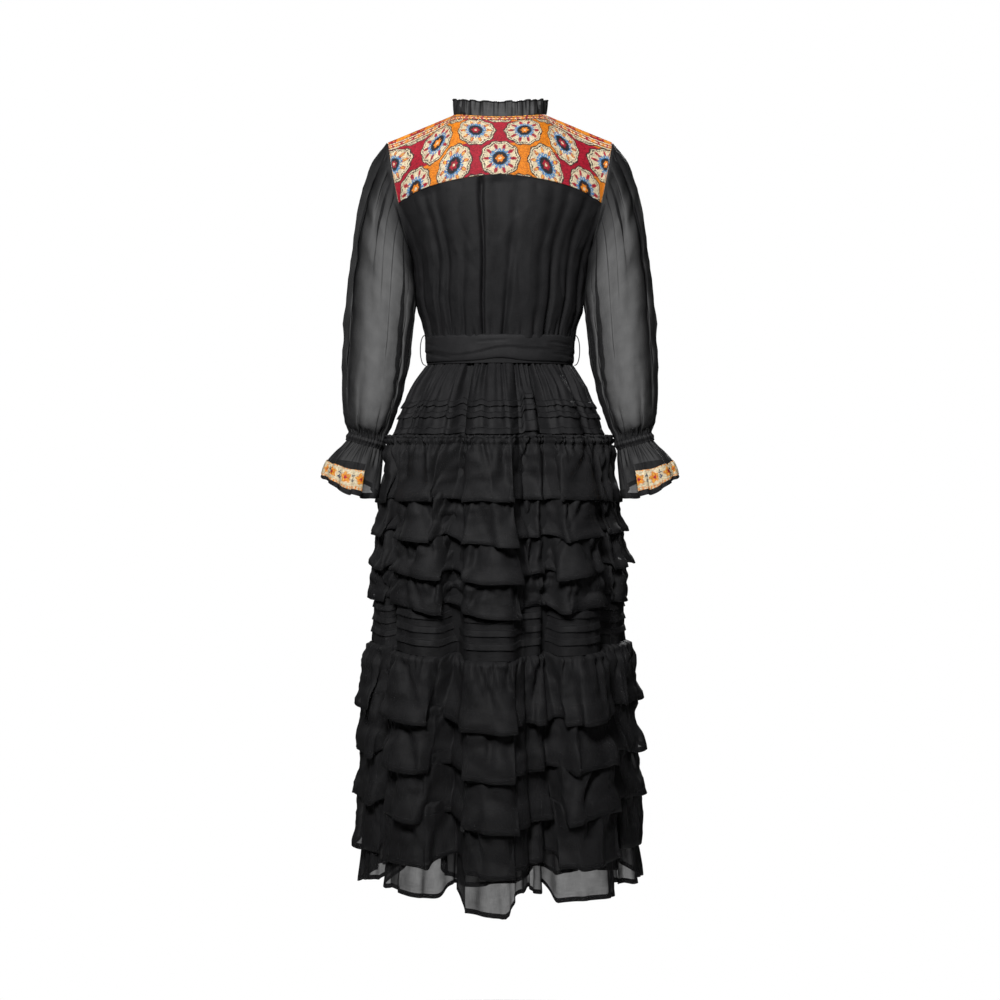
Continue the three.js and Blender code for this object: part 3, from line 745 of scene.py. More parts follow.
def skirt_waves(columns, z, tuck=0.0):
    """The angle of each column at each height, how far it stands out, from -1.2 to
    1, and how far it hangs down. A ridge is round and hangs level, and a valley is
    sharp, with its sides turned in behind the ridge, further by a tuck."""
    z = np.asarray(z, float).reshape(-1, 1)
    share, side = columns["share"], columns["side"]
    start, end = between_folds("top", "low", z, columns)
    under = UNDER * np.clip((SKIRT_TOP - z) / 170, 0, 1) + tuck
    bent = share + under * np.sin(2 * np.pi * share) + RIDGE_WIDTH * side * np.sin(np.pi * share)
    out, next_out = between_folds("out", "low_out", z, columns)
    off_ridge = np.where(side > 0, share, 1 - share)
    full = mix((1 + np.cos(np.pi * off_ridge)) / 2, 1 - off_ridge**ROUND, 0.65)
    high, low = np.where(side > 0, out, next_out), np.where(side > 0, next_out, out)
    level = mix(low, high, 1 - smoothstep(LEVEL_TO, 1, off_ridge))
    return start + (end - start) % 360 * bent, mix(low, high, full), level


def skirt_grid(z, columns, out=0.0, stand=0.0, rise=None, drop=None, aside=0.0, tuck=0.0):
    """Points of the skirt. z is the height at the centre back, in rows."""
    fold = at_height(SKIRT, "fold", z)
    rise = at_height(SKIRT, "rise", z) if rise is None else rise
    drop = at_height(SKIRT, "drop", z) if drop is None else drop
    half, back, front = section(SKIRT, z)
    angle, w, level = skirt_waves(columns, z, tuck)
    angle = angle + aside
    height = z + rise * np.sin(np.radians(angle)) ** 2 - drop * level
    deep = fold * (w + VALLEY_DEEP * (w - 1) / 2)
    return oval(half, back, front, angle, deep + stand * (1 + RIDGE_FLARE * w) + out, height)


def arc_round(columns, radius, z):
    """The distance round the skirt of each column, at a
    radius and a height, and the whole distance round."""
    angle = skirt_waves(columns, z)[0]
    return np.radians(angle) * radius, 2 * np.pi * radius


def heading_rows(row):
    """Heights and puffs above a shirred ruffle: its free
    edge and the band between its two rows of stitches."""
    heights = np.array([3.5, 2.2, 0.8, -0.4, -1.2, -3.5, -6.5, -9.5, -12, -14])
    puffs = np.array([1, 0.8, 0.6, 0.3, 0, 0.7, 1, 0.7, 0, 0.4])
    return row["top"] + heights, puffs


def make_ruffle(number, row, under):
    """A gathered ruffle. under maps the cloth that it hangs over, and is brought up to date with it."""
    seed = 100 * number + 31
    shirred = number == 0
    deep = row["top"] - row["hem"]
    shares = [np.linspace(0, 0.3, 8)[:-1], np.linspace(0.3, 1 - HEM_TURN / deep, 14), [1]]
    share = np.concatenate(shares)[:, None]
    z = mix(row["top"], row["hem"], share)
    puffs = np.zeros_like(z)
    if shirred:
        heading, heading_puffs = heading_rows(row)
        keep = z[:, 0] < heading[-1] - 3
        z = np.concatenate([heading, z[keep, 0]])[:, None]
        puffs = np.concatenate([heading_puffs, np.zeros(keep.sum())])[:, None]
        share = np.clip((row["top"] - z) / deep, 0, 1)
    columns = fold_columns(960 if shirred else 640)
    radius = at_height(SKIRT, "half", row["top"])
    arc, whole = arc_round(columns, radius, row["top"])
    turn = arc / whole
    drop = share * deep
    fine = gathers(arc, whole, drop, seed + 1, "ruffle_fine")
    middle = gathers(arc, whole, drop, seed + 2, "ruffle_middle")
    long = gathers(arc, whole, drop, seed + 3, "ruffle_long")
    small, _ = flutes(arc, whole, seed + 4, RUFFLE_WAVE["small"])
    wave, turned_in = flutes(arc, whole, seed + 5, RUFFLE_WAVE["long"])
    crush = crumple(arc, whole, drop, seed + 6, "ruffle")
    crush = crush + crumple(arc, whole, drop, seed + 7, "ruffle_small")
    puff = row["puff"] * np.sin(np.pi * np.clip(share * 1.6, 0, 1)) * (1 - share)
    body = smoothstep(0, 0.2, share)
    deeps = RUFFLE_DEEP
    out = WALL + mix(3, 8, smoothstep(0, 0.25, share)) + fine + middle
    out = out + long * body * (SHIRRED_DEEPER if shirred else 1) + puff
    out = out + (wave * deeps["long"] + small * deeps["small"]) * share**1.1 + crush * body
    pucker = flutes(arc, whole, seed + 8, RUFFLE_WAVE["pucker"])[0] * deeps["pucker"] * puffs
    out = out + pucker + deeps["puff"] * puffs - 0.8
    hem = ripple(turn, seed + 9, 9) * deeps["uneven"] - wave * deeps["down"] + small
    for angle in CORNERS["angles"]:
        hem = hem - CORNERS["drop"] * np.exp(-(((turn * 360) % 360 - angle) / CORNERS["wide"]) ** 2)
    seam_rise, seam_drop = (at_height(SKIRT, name, row["top"]) for name in ("rise", "drop"))
    rise = mix(seam_rise, row["rise"], share)
    lower = mix(seam_drop, row["drop"], share)
    aside = ripple(turn, seed + 10, 9) * deeps["round"] * share
    aside = aside + np.degrees(turned_in * RUFFLE_WAVE["long"] * RUFFLE_WAVE["lap"] / radius) * share
    tuck = RUFFLE_TUCK * share**0.8 * (1 + 0.5 * ripple(turn, seed + 11, 7))
    grid = skirt_grid(z, columns, out, row["flare"] * share**1.1, rise, lower, aside, tuck)
    grid[..., 2] += hem * share**2 + pucker * 0.5
    grid[1:] = laid_over(grid, under)[1:]
    add_to_map(under, grid)
    grid = hemmed(grid, True, layer=0.8)
    name = f"ruffle_{number + 1}"
    cloth_piece(name, grid, GEORGETTE, "georgette")


def tuck_profile(top, tucks, bottom, deep, out):
    """Heights and how far out, down a cloth whose tucks each lie over it in three layers."""
    rows = [(z, 0.0) for z in np.linspace(top, tucks[0] + deep, 6)]
    for i, edge in enumerate(tucks):
        rows += [(mix(edge + deep, edge, t), out * t**0.7) for t in (0.2, 0.45, 0.7, 0.9, 1)]
        rows += [(edge - 0.5, out * 0.75), (edge + 0.6, out * 0.5), (edge + deep * 0.6, out * 0.35)]
        rows += [(edge + deep, out * 0.15), (edge + deep * 0.6, 0.0), (edge, 0.0)]
        end = tucks[i + 1] + deep if i + 1 < len(tucks) else bottom
        rows += [(z, 0.0) for z in np.linspace(edge, end, 5)[1:]]
    z, stands = np.array(rows).T
    return z[:, None], stands[:, None]


def make_skirt_top():
    z, stands = tuck_profile(SKIRT_TOP, SKIRT_TUCKS, FRILL_SEAM, 9, 3.2)
    columns = fold_columns(700)
    arc, whole = arc_round(columns, RADIUS["top"], SKIRT_TOP)
    drop = SKIRT_TOP - z
    fine = gathers(arc, whole, drop, 11, "top_fine")
    middle = gathers(arc, whole, drop, 12, "top_middle")
    long = gathers(arc, whole, drop, 13, "top_long")
    crush = crumple(arc, whole, drop, 14, "top") * smoothstep(10, 50, drop)
    angle = np.degrees(arc / RADIUS["top"]) % 360
    begun = smoothstep(*TUCK_STEP["from"], angle)
    lift = TUCK_STEP["lift"] * begun * (1 - smoothstep(*TUCK_STEP["to"], angle))
    relief = DEEPEST * np.tanh((fine + middle + long) / DEEPEST)
    grid = skirt_grid(z, columns, relief + crush + stands - 2 * smoothstep(20, 60, drop))
    held = smoothstep(30, 70, drop) * (1 - smoothstep(112, 124, drop))
    uneven = crumple(arc, whole, ALONG_SEAM, 15, "top_tucks")
    grid[..., 2] += (lift + uneven - 0.5 * long - 0.3 * middle) * held
    cloth_piece("skirt_top", grid, CREPE, "crepe")


def make_tuck_band(under):
    z, stands = tuck_profile(BAND_TOP, BAND_TUCKS, BAND_BOTTOM, 11, 2.6)
    columns = fold_columns(560)
    arc, whole = arc_round(columns, RADIUS["band"], BAND_TOP)
    slack = crumple(arc, whole, (BAND_TOP - z) * 0.4, 21, "band") + ripple(arc / whole, 22, 16) * 2
    grid = skirt_grid(z, columns, slack + stands + 1)
    grid[..., 2] += ripple(arc / whole, 23, 12) * 1.5
    add_to_map(under, grid)
    cloth_piece("tuck_band", grid, GEORGETTE, "georgette")


def make_skirt_mid(under):
    z = np.linspace(FRILL_SEAM, BAND_TOP, 12)[:, None]
    grid = skirt_grid(z, fold_columns(320))
    add_to_map(under, grid)
    cloth_piece("skirt_mid", grid, CREPE, "crepe")


def make_skirt_lower(under):
    columns = fold_columns(600)
    z = np.concatenate([np.linspace(BAND_BOTTOM, HEM + HEM_TURN, 40), [HEM]])[:, None]
    radius, long, lap = RADIUS["lower"], LOWER_WAVE["long"], LOWER_WAVE["lap"]
    arc, whole = arc_round(columns, radius, BAND_BOTTOM)
    low = np.clip((LOWER_WAVE["from"] - z) / (LOWER_WAVE["from"] - HEM), 0, 1)
    wave, turned_in = flutes(arc, whole, 31, long)
    small, small_in = flutes(arc, whole, 35, LOWER_WAVE["small"])
    out = (wave * 8 + small * 3 + crumple(arc, whole, -z * 0.5, 34, "lower")) * low
    aside = np.degrees((turned_in * long * lap + small_in * LOWER_WAVE["small"] * lap) / radius) * low
    grid = skirt_grid(z, columns, out, aside=aside)
    up = through(column(HEM_LINE, "angle"), column(HEM_LINE, "up"), np.degrees(arc / radius) % 360)
    grid[..., 2] += (ripple(arc / whole, 33, 10) * 2.5 - wave * 2) * low + up * low**1.5
    add_to_map(under, grid)
    grid = hemmed(grid, True)
    cloth_piece("skirt_lower", grid, GEORGETTE, "georgette")


def make_slip():
    top, bottom = SLIP[0]["z"], SLIP[-1]["z"]
    z = np.concatenate([np.linspace(top, bottom + HEM_TURN, 24), [bottom]])[:, None]
    turn = np.linspace(0, 1, 200, endpoint=False)
    half, back, front = section(SLIP, z)
    low = (top - z) / (top - bottom)
    out = (ripple(turn, 41, 9) * 3.5 + ripple(turn, 42, 16) * 1.5) * low
    grid = hemmed(oval(half, back, front, turn * 360, out, z), True)
    cloth_piece("slip", grid, SLIP_CLOTH, "crepe")


# ---- Yokes and bodice ----

BACK, FRONT = 1, -1
YOKE_SEAMS = {BACK: BACK_YOKE, FRONT: FRONT_YOKE}
SEAM_CURVE = 1.6  # how the yoke's lower seam falls towards the armhole


def trunk_point(angle, z, out=0.0):
    return oval(*section(TRUNK, z), angle, out, z)


def from_centre(angle, side):
    return angle if side == BACK else 180 - angle


def armhole_point(turn):
    """A point on the left armhole, in degrees from its top towards the back."""
    s, c = np.sin(np.radians(turn)), np.cos(np.radians(turn))
    x = ARMHOLE["x"] + ARMHOLE["lean"] * c + ARMHOLE["bulge"] * s * s
    return np.stack(np.broadcast_arrays(x, ARMHOLE["deep"] * s, ARMHOLE["z"] + ARMHOLE["high"] * c), axis=-1)


def yoke_top(across, side):
    """The neck edge, and beyond it the shoulder seam."""
    turn = from_centre(np.minimum(across / NECK_SHARE, 1) * 90, side)
    c = np.cos(np.radians(turn))
    low = np.where(c > 0, NECK["back_z"], NECK["front_z"])
    neck = oval(NECK["half"], NECK["back"], NECK["front"], turn, 0, mix(NECK["side_z"], low, c * c))
    beyond = np.clip((across - NECK_SHARE) / (1 - NECK_SHARE), 0, 1)
    x, z = mix(NECK["half"], SHOULDER["x"], beyond), mix(NECK["side_z"], SHOULDER["z"], beyond)
    shoulder = np.stack(np.broadcast_arrays(x, side * 0.2, z), axis=-1)
    return np.where((beyond > 0)[..., None], shoulder, neck)


def yoke_half(across, down, side):
    """The left half of a yoke. across runs from the centre, 0, to the
    armhole, 1, and down from the neck and shoulder to the lower seam."""
    seam = YOKE_SEAMS[side]
    z = mix(seam["centre"], seam["end"], across**SEAM_CURVE)
    low = trunk_point(from_centre(YOKE_ANGLE * across, side), z)
    top = yoke_top(across, side)
    quarter = down * np.pi / 2
    level = mix(down, np.sin(quarter), ROUNDING)[..., None]
    fall = mix(down, 1 - np.cos(quarter), ROUNDING)[..., None]
    share = np.concatenate([level, level, fall], axis=-1)
    edge = armhole_point(side * mix(0.4, seam["notch"], down))
    return mix(mix(top, low, share), edge, smoothstep(0.7, 1, across)[..., None])


def bodice_half(across, down, side):
    """The left half of the bodice below its yoke. across runs on to the side seam, 2."""
    seam = YOKE_SEAMS[side]
    past = np.clip(across - 1, 0, 1)
    under_yoke = yoke_half(np.minimum(across, 1), np.ones_like(across), side)
    under_arm = armhole_point(side * mix(seam["notch"], 180, past))
    top = np.where((past > 0)[..., None], under_arm, under_yoke)
    half = at_height(TRUNK, "half", top[..., 2])
    deep = at_height(TRUNK, "back" if side == BACK else "front", top[..., 2])
    top_turn = np.degrees(np.arctan2(top[..., 0] / half, np.abs(top[..., 1]) / deep))
    off = top - trunk_point(from_centre(top_turn, side), top[..., 2])
    z = mix(top[..., 2] - 1, BODICE_HEM, down)
    turn = mix(top_turn, 45 * across, down)
    angle = from_centre(turn, side)
    return trunk_point(angle, z) + off * ((1 - down) ** 2)[..., None], angle


def half_shares(rows, across_end, columns):
    across = np.linspace(0, across_end, columns)
    return np.meshgrid(np.linspace(0, 1, rows), across, indexing="ij")


def whole_width(left):
    """A grid of both halves, from the right side to the left,
    out of its left half, which starts at the centre."""
    return np.concatenate([(left * MIRROR)[:, :0:-1], left], axis=1)


# The bodice's creases, back and front: where each is under the yoke
# and at the belt, in degrees, and how deep and wide it is there
BODICE_CREASES = table(
    "top low deep low_deep wide low_wide",
    (9.5, 13.3, 8, 8, 1.6, 1.5),
    (41.6, 53, 2.5, 6, 7, 2.2),
    (34.5, 41.6, 2.5, 5, 6, 2),
    (21, 29, 0.8, 3.2, 7, 1.6),
    (1, 1, 1.6, 0, 5, 6),
    (-10, -2.5, 1.8, 5.5, 6, 1.9),
    (-19, -16, 1, 1.5, 8, 6),
    (-28, -27, 1.8, 1.5, 6, 4),
    (-37, -37.5, 2.2, 6.5, 7, 2.4),
    (-51, -54, 2, 3.5, 7, 2.5),
    (62, 70, 1.5, 4, 8, 3),
    (-66, -72, 1.5, 4, 8, 3),
    (172, 168, 3, 5, 5, 3),
    (158, 154, 1.5, 4.5, 7, 2.5),
    (140, 136, 2, 5, 7, 2.5),
    (122, 118, 1.5, 4, 8, 3),
    (190, 194, 2.5, 5, 6, 3),
    (205, 209, 1.5, 4, 7, 2.5),
    (221, 226, 2.2, 5, 7, 2.5),
    (240, 243, 1.5, 4, 8, 3),
)
BODICE_LONG = 200  # about how far it is down the bodice


def creased(grid, angle, down):
    """The bodice with its creases and the soft fullness between them."""
    normal = grid_normals(grid, False)
    radius = np.hypot(grid[..., 0], grid[..., 1])
    out = 0
    for crease in BODICE_CREASES:
        place = mix(crease["top"], crease["low"], down**1.3)
        off = (angle - place + 180) % 360 - 180
        deep = mix(crease["deep"], crease["low_deep"], down**1.5)
        wide = mix(crease["wide"], crease["low_wide"], down)
        out = out - 1.5 * deep * np.exp(-((np.radians(off) * radius / wide / 1.25) ** 2))
    turn = angle / 360
    arc, whole = np.radians(angle % 360) * RADIUS["bodice"], np.radians(360) * RADIUS["bodice"]
    full = ripple(turn + 0.02 * down, 51, 8) * 1.6 + ripple(turn, 52, 6) * 1.8
    full = full + crumple(arc, whole, down * 100, 53, "bodice") * np.sin(np.pi * down)
    seam_gathers = gathers(arc, whole, down * BODICE_LONG, 54, "bodice_seam")
    blouse = 3 * smoothstep(0.6, 1, down)
    belt_gathers = gathers(arc, whole, (1 - down) * BODICE_LONG, 55, "bodice_belt")
    full = full + seam_gathers + belt_gathers + blouse
    seam = np.minimum(smoothstep(0, 0.06, down) + 0.35 * smoothstep(0, 0.012, down), 1)
    return grid + normal * ((out + full * smoothstep(0, 0.05, down)) * seam)[..., None]


def make_bodice():
    down, across = half_shares(80, 2, 150)
    left, turn = bodice_half(across, down, BACK)
    grid = whole_width(left)
    angle = np.concatenate([-turn[:, :0:-1], turn], axis=1)
    whole_down = np.concatenate([down[:, :0:-1], down], axis=1)
    grid = creased(grid, angle, whole_down)
    cloth_piece("back_bodice", grid, CREPE, "crepe", closed=False)
    down, across = half_shares(60, 2, 120)
    left, turn = bodice_half(across, down, FRONT)
    left[:, 0, 0] = PLACKET_HALF
    left[..., 0] = np.maximum(left[..., 0], PLACKET_HALF)
    for side, flip in (("left", False), ("right", True)):
        grid = mirrored(left[:, ::-1]) if flip else left[:, ::-1]
        angle = (-turn[:, ::-1])[:, ::-1] % 360 if flip else turn[:, ::-1]
        grid = creased(grid, angle, down)
        cloth_piece(f"front_bodice_{side}", grid, CREPE, "crepe", closed=False)


# ---- Embroidery ----

CREAM = (0.47, 0.40, 0.27)
ORANGE = (0.50, 0.15, 0.008)
GOLD = (0.50, 0.24, 0.03)
CRIMSON = (0.25, 0.006, 0.018)
BLUE = (0.04, 0.15, 0.31)
NAVY = (0.012, 0.02, 0.06)
INK = (0.012, 0.011, 0.013)
THREADS = np.array([CREAM, ORANGE, GOLD, CRIMSON, BLUE, NAVY, INK])
CREAM_I, ORANGE_I, GOLD_I, CRIMSON_I, BLUE_I, NAVY_I, INK_I = range(len(THREADS))

# A rosette's radius, how far apart they are across and down, and where their first row is
ROSETTE = {"radius": 31, "across": 74, "down": 54, "first": 57}
# The band below the neck, where it lies on the shoulder, and how far from the middle it changes
BORDER = {"top": 9, "end": 26, "shoulder_top": 26, "shoulder_end": 48, "from": 45, "to": 130}


def rosette(x, y, odd):
    """The thread and the stitches' direction in a rosette about its own middle. Thread is -1 outside it."""
    reach, turn = np.hypot(x, y), np.arctan2(y, x)
    edge = ROSETTE["radius"] + 1.2 * np.cos(10 * turn)
    petal = np.abs(np.sin(5 * turn))
    thread = np.where(reach < edge, INK_I, -1)
    thread = np.where(reach < edge - 1.8, CREAM_I, thread)
    thread = np.where((np.abs(reach - edge + 4.4) < 0.9) & (np.sin(44 * turn) > -0.6), INK_I, thread)
    drop = np.hypot((reach - 20.5) / 4.2, petal * reach / 5 / 1.9)
    thread = np.where(drop < 1.25, CRIMSON_I, thread)
    thread = np.where(drop < 0.8, np.where(odd, CRIMSON_I, GOLD_I), thread)
    thread = np.where(reach < 16 + 1.2 * np.cos(16 * turn), BLUE_I, thread)
    thread = np.where((np.abs(reach - 13.6) < 0.8) & (np.sin(24 * turn) > 0), CREAM_I, thread)
    thread = np.where(reach < 11.5, INK_I, thread)
    thread = np.where(reach < 6 + 1.2 * np.cos(6 * turn), np.where(odd, ORANGE_I, CRIMSON_I), thread)
    thread = np.where(reach < 2.2, CREAM_I, thread)
    rim = (reach > edge - 7) | (reach < 11)
    return thread, np.where(rim, turn + np.pi / 2, turn)


def gap_colour(place):
    """The ground between the rosettes of a row, by turns orange and crimson."""
    return np.where(np.floor(place) % 2 > 0.5, CRIMSON_I, ORANGE_I)


def band_design(u, w, deep):
    """A band of knots between cream cords. w is the distance
    from its upper edge and deep how deep it is."""
    off = np.abs(w - deep / 2)
    stripe = np.abs((u / 13) % 1 - 0.5) * 2
    knots = np.where(stripe < 0.5, ORANGE_I, CRIMSON_I)
    thread = np.where(off < 5.5, knots, CREAM_I)
    thread = np.where((off < 5.5) & (np.hypot((stripe - 0.5) * 6.5, w - deep / 2) < 2.2), CREAM_I, thread)
    thread = np.where(np.abs(off - 5.5) < 0.8, INK_I, thread)
    return np.where(off > deep / 2 - 1.5, INK_I, thread)


def yoke_design(u, v):
    """The thread and the direction of the stitches at a place on a yoke, in
    millimetres from its middle and top: a band along the top, broader on the
    shoulder, and below it staggered rosettes on a ground of two colours."""
    shoulder = smoothstep(BORDER["from"], BORDER["to"], np.abs(u))
    lower = v - mix(0, BORDER["shoulder_end"] - BORDER["end"], shoulder)
    row = np.round((lower - ROSETTE["first"]) / ROSETTE["down"])
    place = u / ROSETTE["across"] - np.where(row % 2 > 0.5, 0, 0.5)
    count = np.round(place)
    x, y = (place - count) * ROSETTE["across"], lower - ROSETTE["first"] - row * ROSETTE["down"]
    other_row = row + np.where(y > 0, 1, -1)
    other_place = u / ROSETTE["across"] - np.where(other_row % 2 > 0.5, 0, 0.5)
    other = np.round(other_place)
    ox = (other_place - other) * ROSETTE["across"]
    oy = lower - ROSETTE["first"] - other_row * ROSETTE["down"]
    thread, way = rosette(x, y, (count + row) % 2 > 0.5)
    second, second_way = rosette(ox, oy, (other + other_row) % 2 > 0.5)
    way = np.where(thread < 0, np.where(second < 0, 0.2, second_way), way)
    ground = gap_colour(place + row)
    thread = np.where(thread < 0, np.where(second < 0, ground, second), thread)
    top = mix(BORDER["top"], BORDER["shoulder_top"], shoulder)
    deep = mix(BORDER["end"], BORDER["shoulder_end"], shoulder) - top
    w = v - top
    scallop = np.abs((u / 16) % 1 - 0.5) * 2
    above = np.where(np.floor(u / 16) % 2 > 0.5, CRIMSON_I, ORANGE_I)
    leaf = np.hypot((scallop - 0.5) * 8, (v - top * 0.55) * 0.8) < 2.6
    above = np.where(leaf, GOLD_I, above)
    above = np.where(v < 1.8, INK_I, above)
    thread = np.where(w < deep, band_design(u, w, deep), thread)
    thread = np.where(w < 0, above, thread)
    return thread.astype(int), np.where(w < deep, 0.1, way)


def cuff_design(u, v):
    """Flowers and sprigs along a strip: the thread and the direction of the stitches."""
    pitch, middle = 30, 12.5
    x = (u / pitch) % 1 * pitch - pitch / 2
    y = v - middle
    reach, turn = np.hypot(x, y), np.arctan2(y, x)
    thread = np.full(u.shape, CREAM_I)
    petals = 7 + 1.5 * np.cos(5 * turn + 0.6)
    thread = np.where(reach < petals, ORANGE_I, thread)
    thread = np.where((reach < petals - 1.2) & (np.sin(5 * turn + 2.2) > 0.2), GOLD_I, thread)
    thread = np.where(reach < 2.4, CRIMSON_I, thread)
    sx = np.abs(x) - pitch / 2
    stem = np.abs(sx + 2.2 * np.sin(y * 0.55)) < 0.9
    leaf = np.hypot((np.abs(sx) - 2.6) / 2.2, (np.abs(y) - 3.4) / 1.3) < 1
    thread = np.where((stem | leaf) & (np.abs(y) < 7), NAVY_I, thread)
    edge = np.abs(y) > 11
    thread = np.where(edge, np.where((u / 4) % 1 < 0.5, ORANGE_I, CREAM_I), thread)
    return thread.astype(int), np.where(reach < petals, turn, 0.1)


def on_grid(grid, normals, row, col):
    """Points between the points of a grid, and the direction square to it there."""
    r = np.clip(row, 0, grid.shape[0] - 1.001)
    c = np.clip(col, 0, grid.shape[1] - 1.001)
    i, j = r.astype(int), c.astype(int)
    s, t = (r - i)[..., None], (c - j)[..., None]

    def blend(values):
        return mix(mix(values[i, j], values[i, j + 1], t), mix(values[i + 1, j], values[i + 1, j + 1], t), s)

    return blend(grid), blend(normals)


def thread_material(name):
    n = Nodes(name)
    colour = n.add("ShaderNodeAttribute", attribute_name="thread").outputs["Color"]
    place = n.add("ShaderNodeTexCoord").outputs["Object"]
    fibre = n.noise(place, 900, 2)
    worn = n.noise(place, 60, 2)
    shade = n.math("ADD", n.math("MULTIPLY", fibre, 0.35), n.math("MULTIPLY", worn, 0.25))
    value = n.math("ADD", shade, 0.68)
    hue = n.add("ShaderNodeHueSaturation", {"Color": colour, "Value": value})
    n.set(n.shader.inputs["Base Color"], hue.outputs[0])
    n.sheen(0.55, 0.15)
    n.bump(fibre, 0.4, 0.0003)
    return n.material


THREAD = thread_material("embroidery_thread")
GROUND_PAINTED_SHADE = 0.75  # painted shade: the cloth under the stitches is painted in their colours, darker by this share
STITCH = {"long": 3.2, "wide": 1.2, "high": 0.8, "step": 2.4, "row": 1.0, "lift": 0.12}
# A stitch's corners: along, across and up, as shares of its length, width and height
STITCH_POINTS = np.array([(-0.5, 0, 0), (0, -0.5, 0.1), (0.5, 0, 0), (0, 0.5, 0.1), (0, 0, 1)])
STITCH_FACES = np.array([(0, 1, 4), (1, 2, 4), (2, 3, 4), (3, 0, 4)])


def stitch_mesh(name, grid, u, v, way, colours, size):
    """Many stitches as one mesh, lying on a grid of cloth at
    places in millimetres from its right and top edges."""
    wide, tall = lengths(grid, 1)[-1], lengths(grid, 0)[-1]
    normals = grid_normals(grid, False)
    long, broad, high = size
    corners = []
    for along, aside, up in STITCH_POINTS:
        x = u + (along * long * np.cos(way) - aside * broad * np.sin(way))
        y = v + (along * long * np.sin(way) + aside * broad * np.cos(way))
        x, y = np.clip(x, 0, wide), np.clip(y, 0, tall)
        point, normal = on_grid(grid, normals, y / tall * (grid.shape[0] - 1), x / wide * (grid.shape[1] - 1))
        corners.append(point + normal * (STITCH["lift"] + up * high))
    points = np.stack(corners, axis=1).reshape(-1, 3)
    base = np.arange(len(u))[:, None, None] * len(STITCH_POINTS)
    faces = (base + STITCH_FACES[None]).reshape(-1, 3)
    piece = make_mesh(name, points, faces.tolist(), THREAD)
    paint_points(piece, np.repeat(colours, len(STITCH_POINTS), axis=0))
    return piece


def embroider(name, grid, design, seed, centre):
    """Embroidered cloth: its ground, painted in the design's colours darkened as painted shade between the
    stitches, covered in satin stitches of the design's colours.
    """
    rng = np.random.default_rng(seed)
    wide, tall = lengths(grid, 1)[-1], lengths(grid, 0)[-1]
    steps_u, steps_v = np.arange(0.8, wide, STITCH["step"]), np.arange(0.5, tall, STITCH["row"])
    u, v = np.meshgrid(steps_u, steps_v)
    u = u + (np.arange(len(steps_v)) % 2 * STITCH["step"] / 2)[:, None] + rng.uniform(-0.4, 0.4, u.shape)
    v = v + rng.uniform(-0.15, 0.15, u.shape)
    u, v = u.ravel(), v.ravel()
    inside = u < wide
    u, v = u[inside], v[inside]
    thread, way = design(u - centre * wide, v)
    colours = THREADS[thread] * rng.uniform(0.5, 1.2, (len(u), 1))
    way = way + rng.uniform(-0.12, 0.12, len(u))
    size = (STITCH["long"], STITCH["wide"], STITCH["high"] * rng.uniform(0.7, 1.2, len(u))[:, None])
    ground = make_sheet(f"{name}_cloth", grid, THREAD)
    rows, columns = grid.shape[:2]
    gu, gv = np.meshgrid(np.linspace(0, wide, columns), np.linspace(0, tall, rows))
    under, _ = design(gu.ravel() - centre * wide, gv.ravel())
    # Painted shade: the ground takes the colours of the stitches over it, darker, as shade between the
    # stitches
    paint_points(ground, THREADS[under] * GROUND_PAINTED_SHADE)
    dress_piece(ground, "embroidery", name)
    raised = stitch_mesh(f"{name}_stitches", grid, u, v, way, colours, size)
    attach(raised, BODY)


def make_yokes():
    down, across = half_shares(56, 1, 90)
    left = yoke_half(across, down, BACK)
    embroider("back_yoke", whole_width(left), yoke_design, 61, 0.5)
    left = yoke_half(across, down, FRONT)
    left[..., 0] = np.maximum(left[..., 0], PLACKET_HALF)
    embroider("front_yoke_left", left[:, ::-1], yoke_design, 62, 1)
    embroider("front_yoke_right", mirrored(left[:, ::-1]), yoke_design, 63, 0)


# ---- Neck frill, placket and buttons ----

# The frill's height, its half waves, and how far they turn in
FRILL = {"height": 26, "wave": 9.5, "small": 4.2, "lap": 0.24}


def make_neck_frill():
    half_turns = np.linspace(0, NECK_SHARE, 130)
    back = yoke_top(half_turns, BACK)
    front = yoke_top(half_turns[::-1], FRONT)[1:]
    front = front[np.abs(front[:, 0]) > PLACKET_HALF]
    left = np.concatenate([back, front])
    ring = np.concatenate([(left * MIRROR)[:0:-1], left])
    arc = np.concatenate([[0], np.cumsum(np.linalg.norm(np.diff(ring, axis=0), axis=1))])
    along = unit(np.gradient(ring, axis=0))
    outward = np.stack([-along[:, 1], along[:, 0]], axis=1)
    outward *= np.sign((outward * ring[:, :2]).sum(axis=1, keepdims=True))
    up = np.concatenate([[1], np.linspace(0.93, 0, 13), [-0.16]])[:, None]
    wave, turned_in = flutes(arc, arc[-1], 71, FRILL["wave"])
    free = mix(0.3, 1.0, np.clip(up * 1.2, 0, 1))
    out = (wave * 4.2 + flutes(arc, arc[-1], 74, FRILL["small"])[0] * 1.5) * free - 1.2 - 2.2 * up**2
    out = out + ripple(arc / arc[-1], 72, 9) * up * 2.2
    side = turned_in * FRILL["wave"] * FRILL["lap"] * free
    grid = np.repeat(ring[None], len(up), axis=0)
    grid[..., :2] += outward[None] * out[..., None]
    grid += along[None] * side[..., None]
    grid[..., 2] += up * FRILL["height"] + (ripple(arc / arc[-1], 73, 16) * 1.4 + wave * 0.9) * up
    grid = hemmed(grid[::-1], False)[::-1]
    cloth_piece("neck_frill", grid, FRILL_CLOTH, "chiffon", closed=False)


def front_line(rows):
    """The dress's centre front from neck to waist."""
    down = np.linspace(0, 1, rows)
    zero = np.zeros(rows)
    yoke = yoke_half(zero, down, FRONT)
    bodice, _ = bodice_half(zero, down, FRONT)
    return np.concatenate([yoke[:-1], bodice])


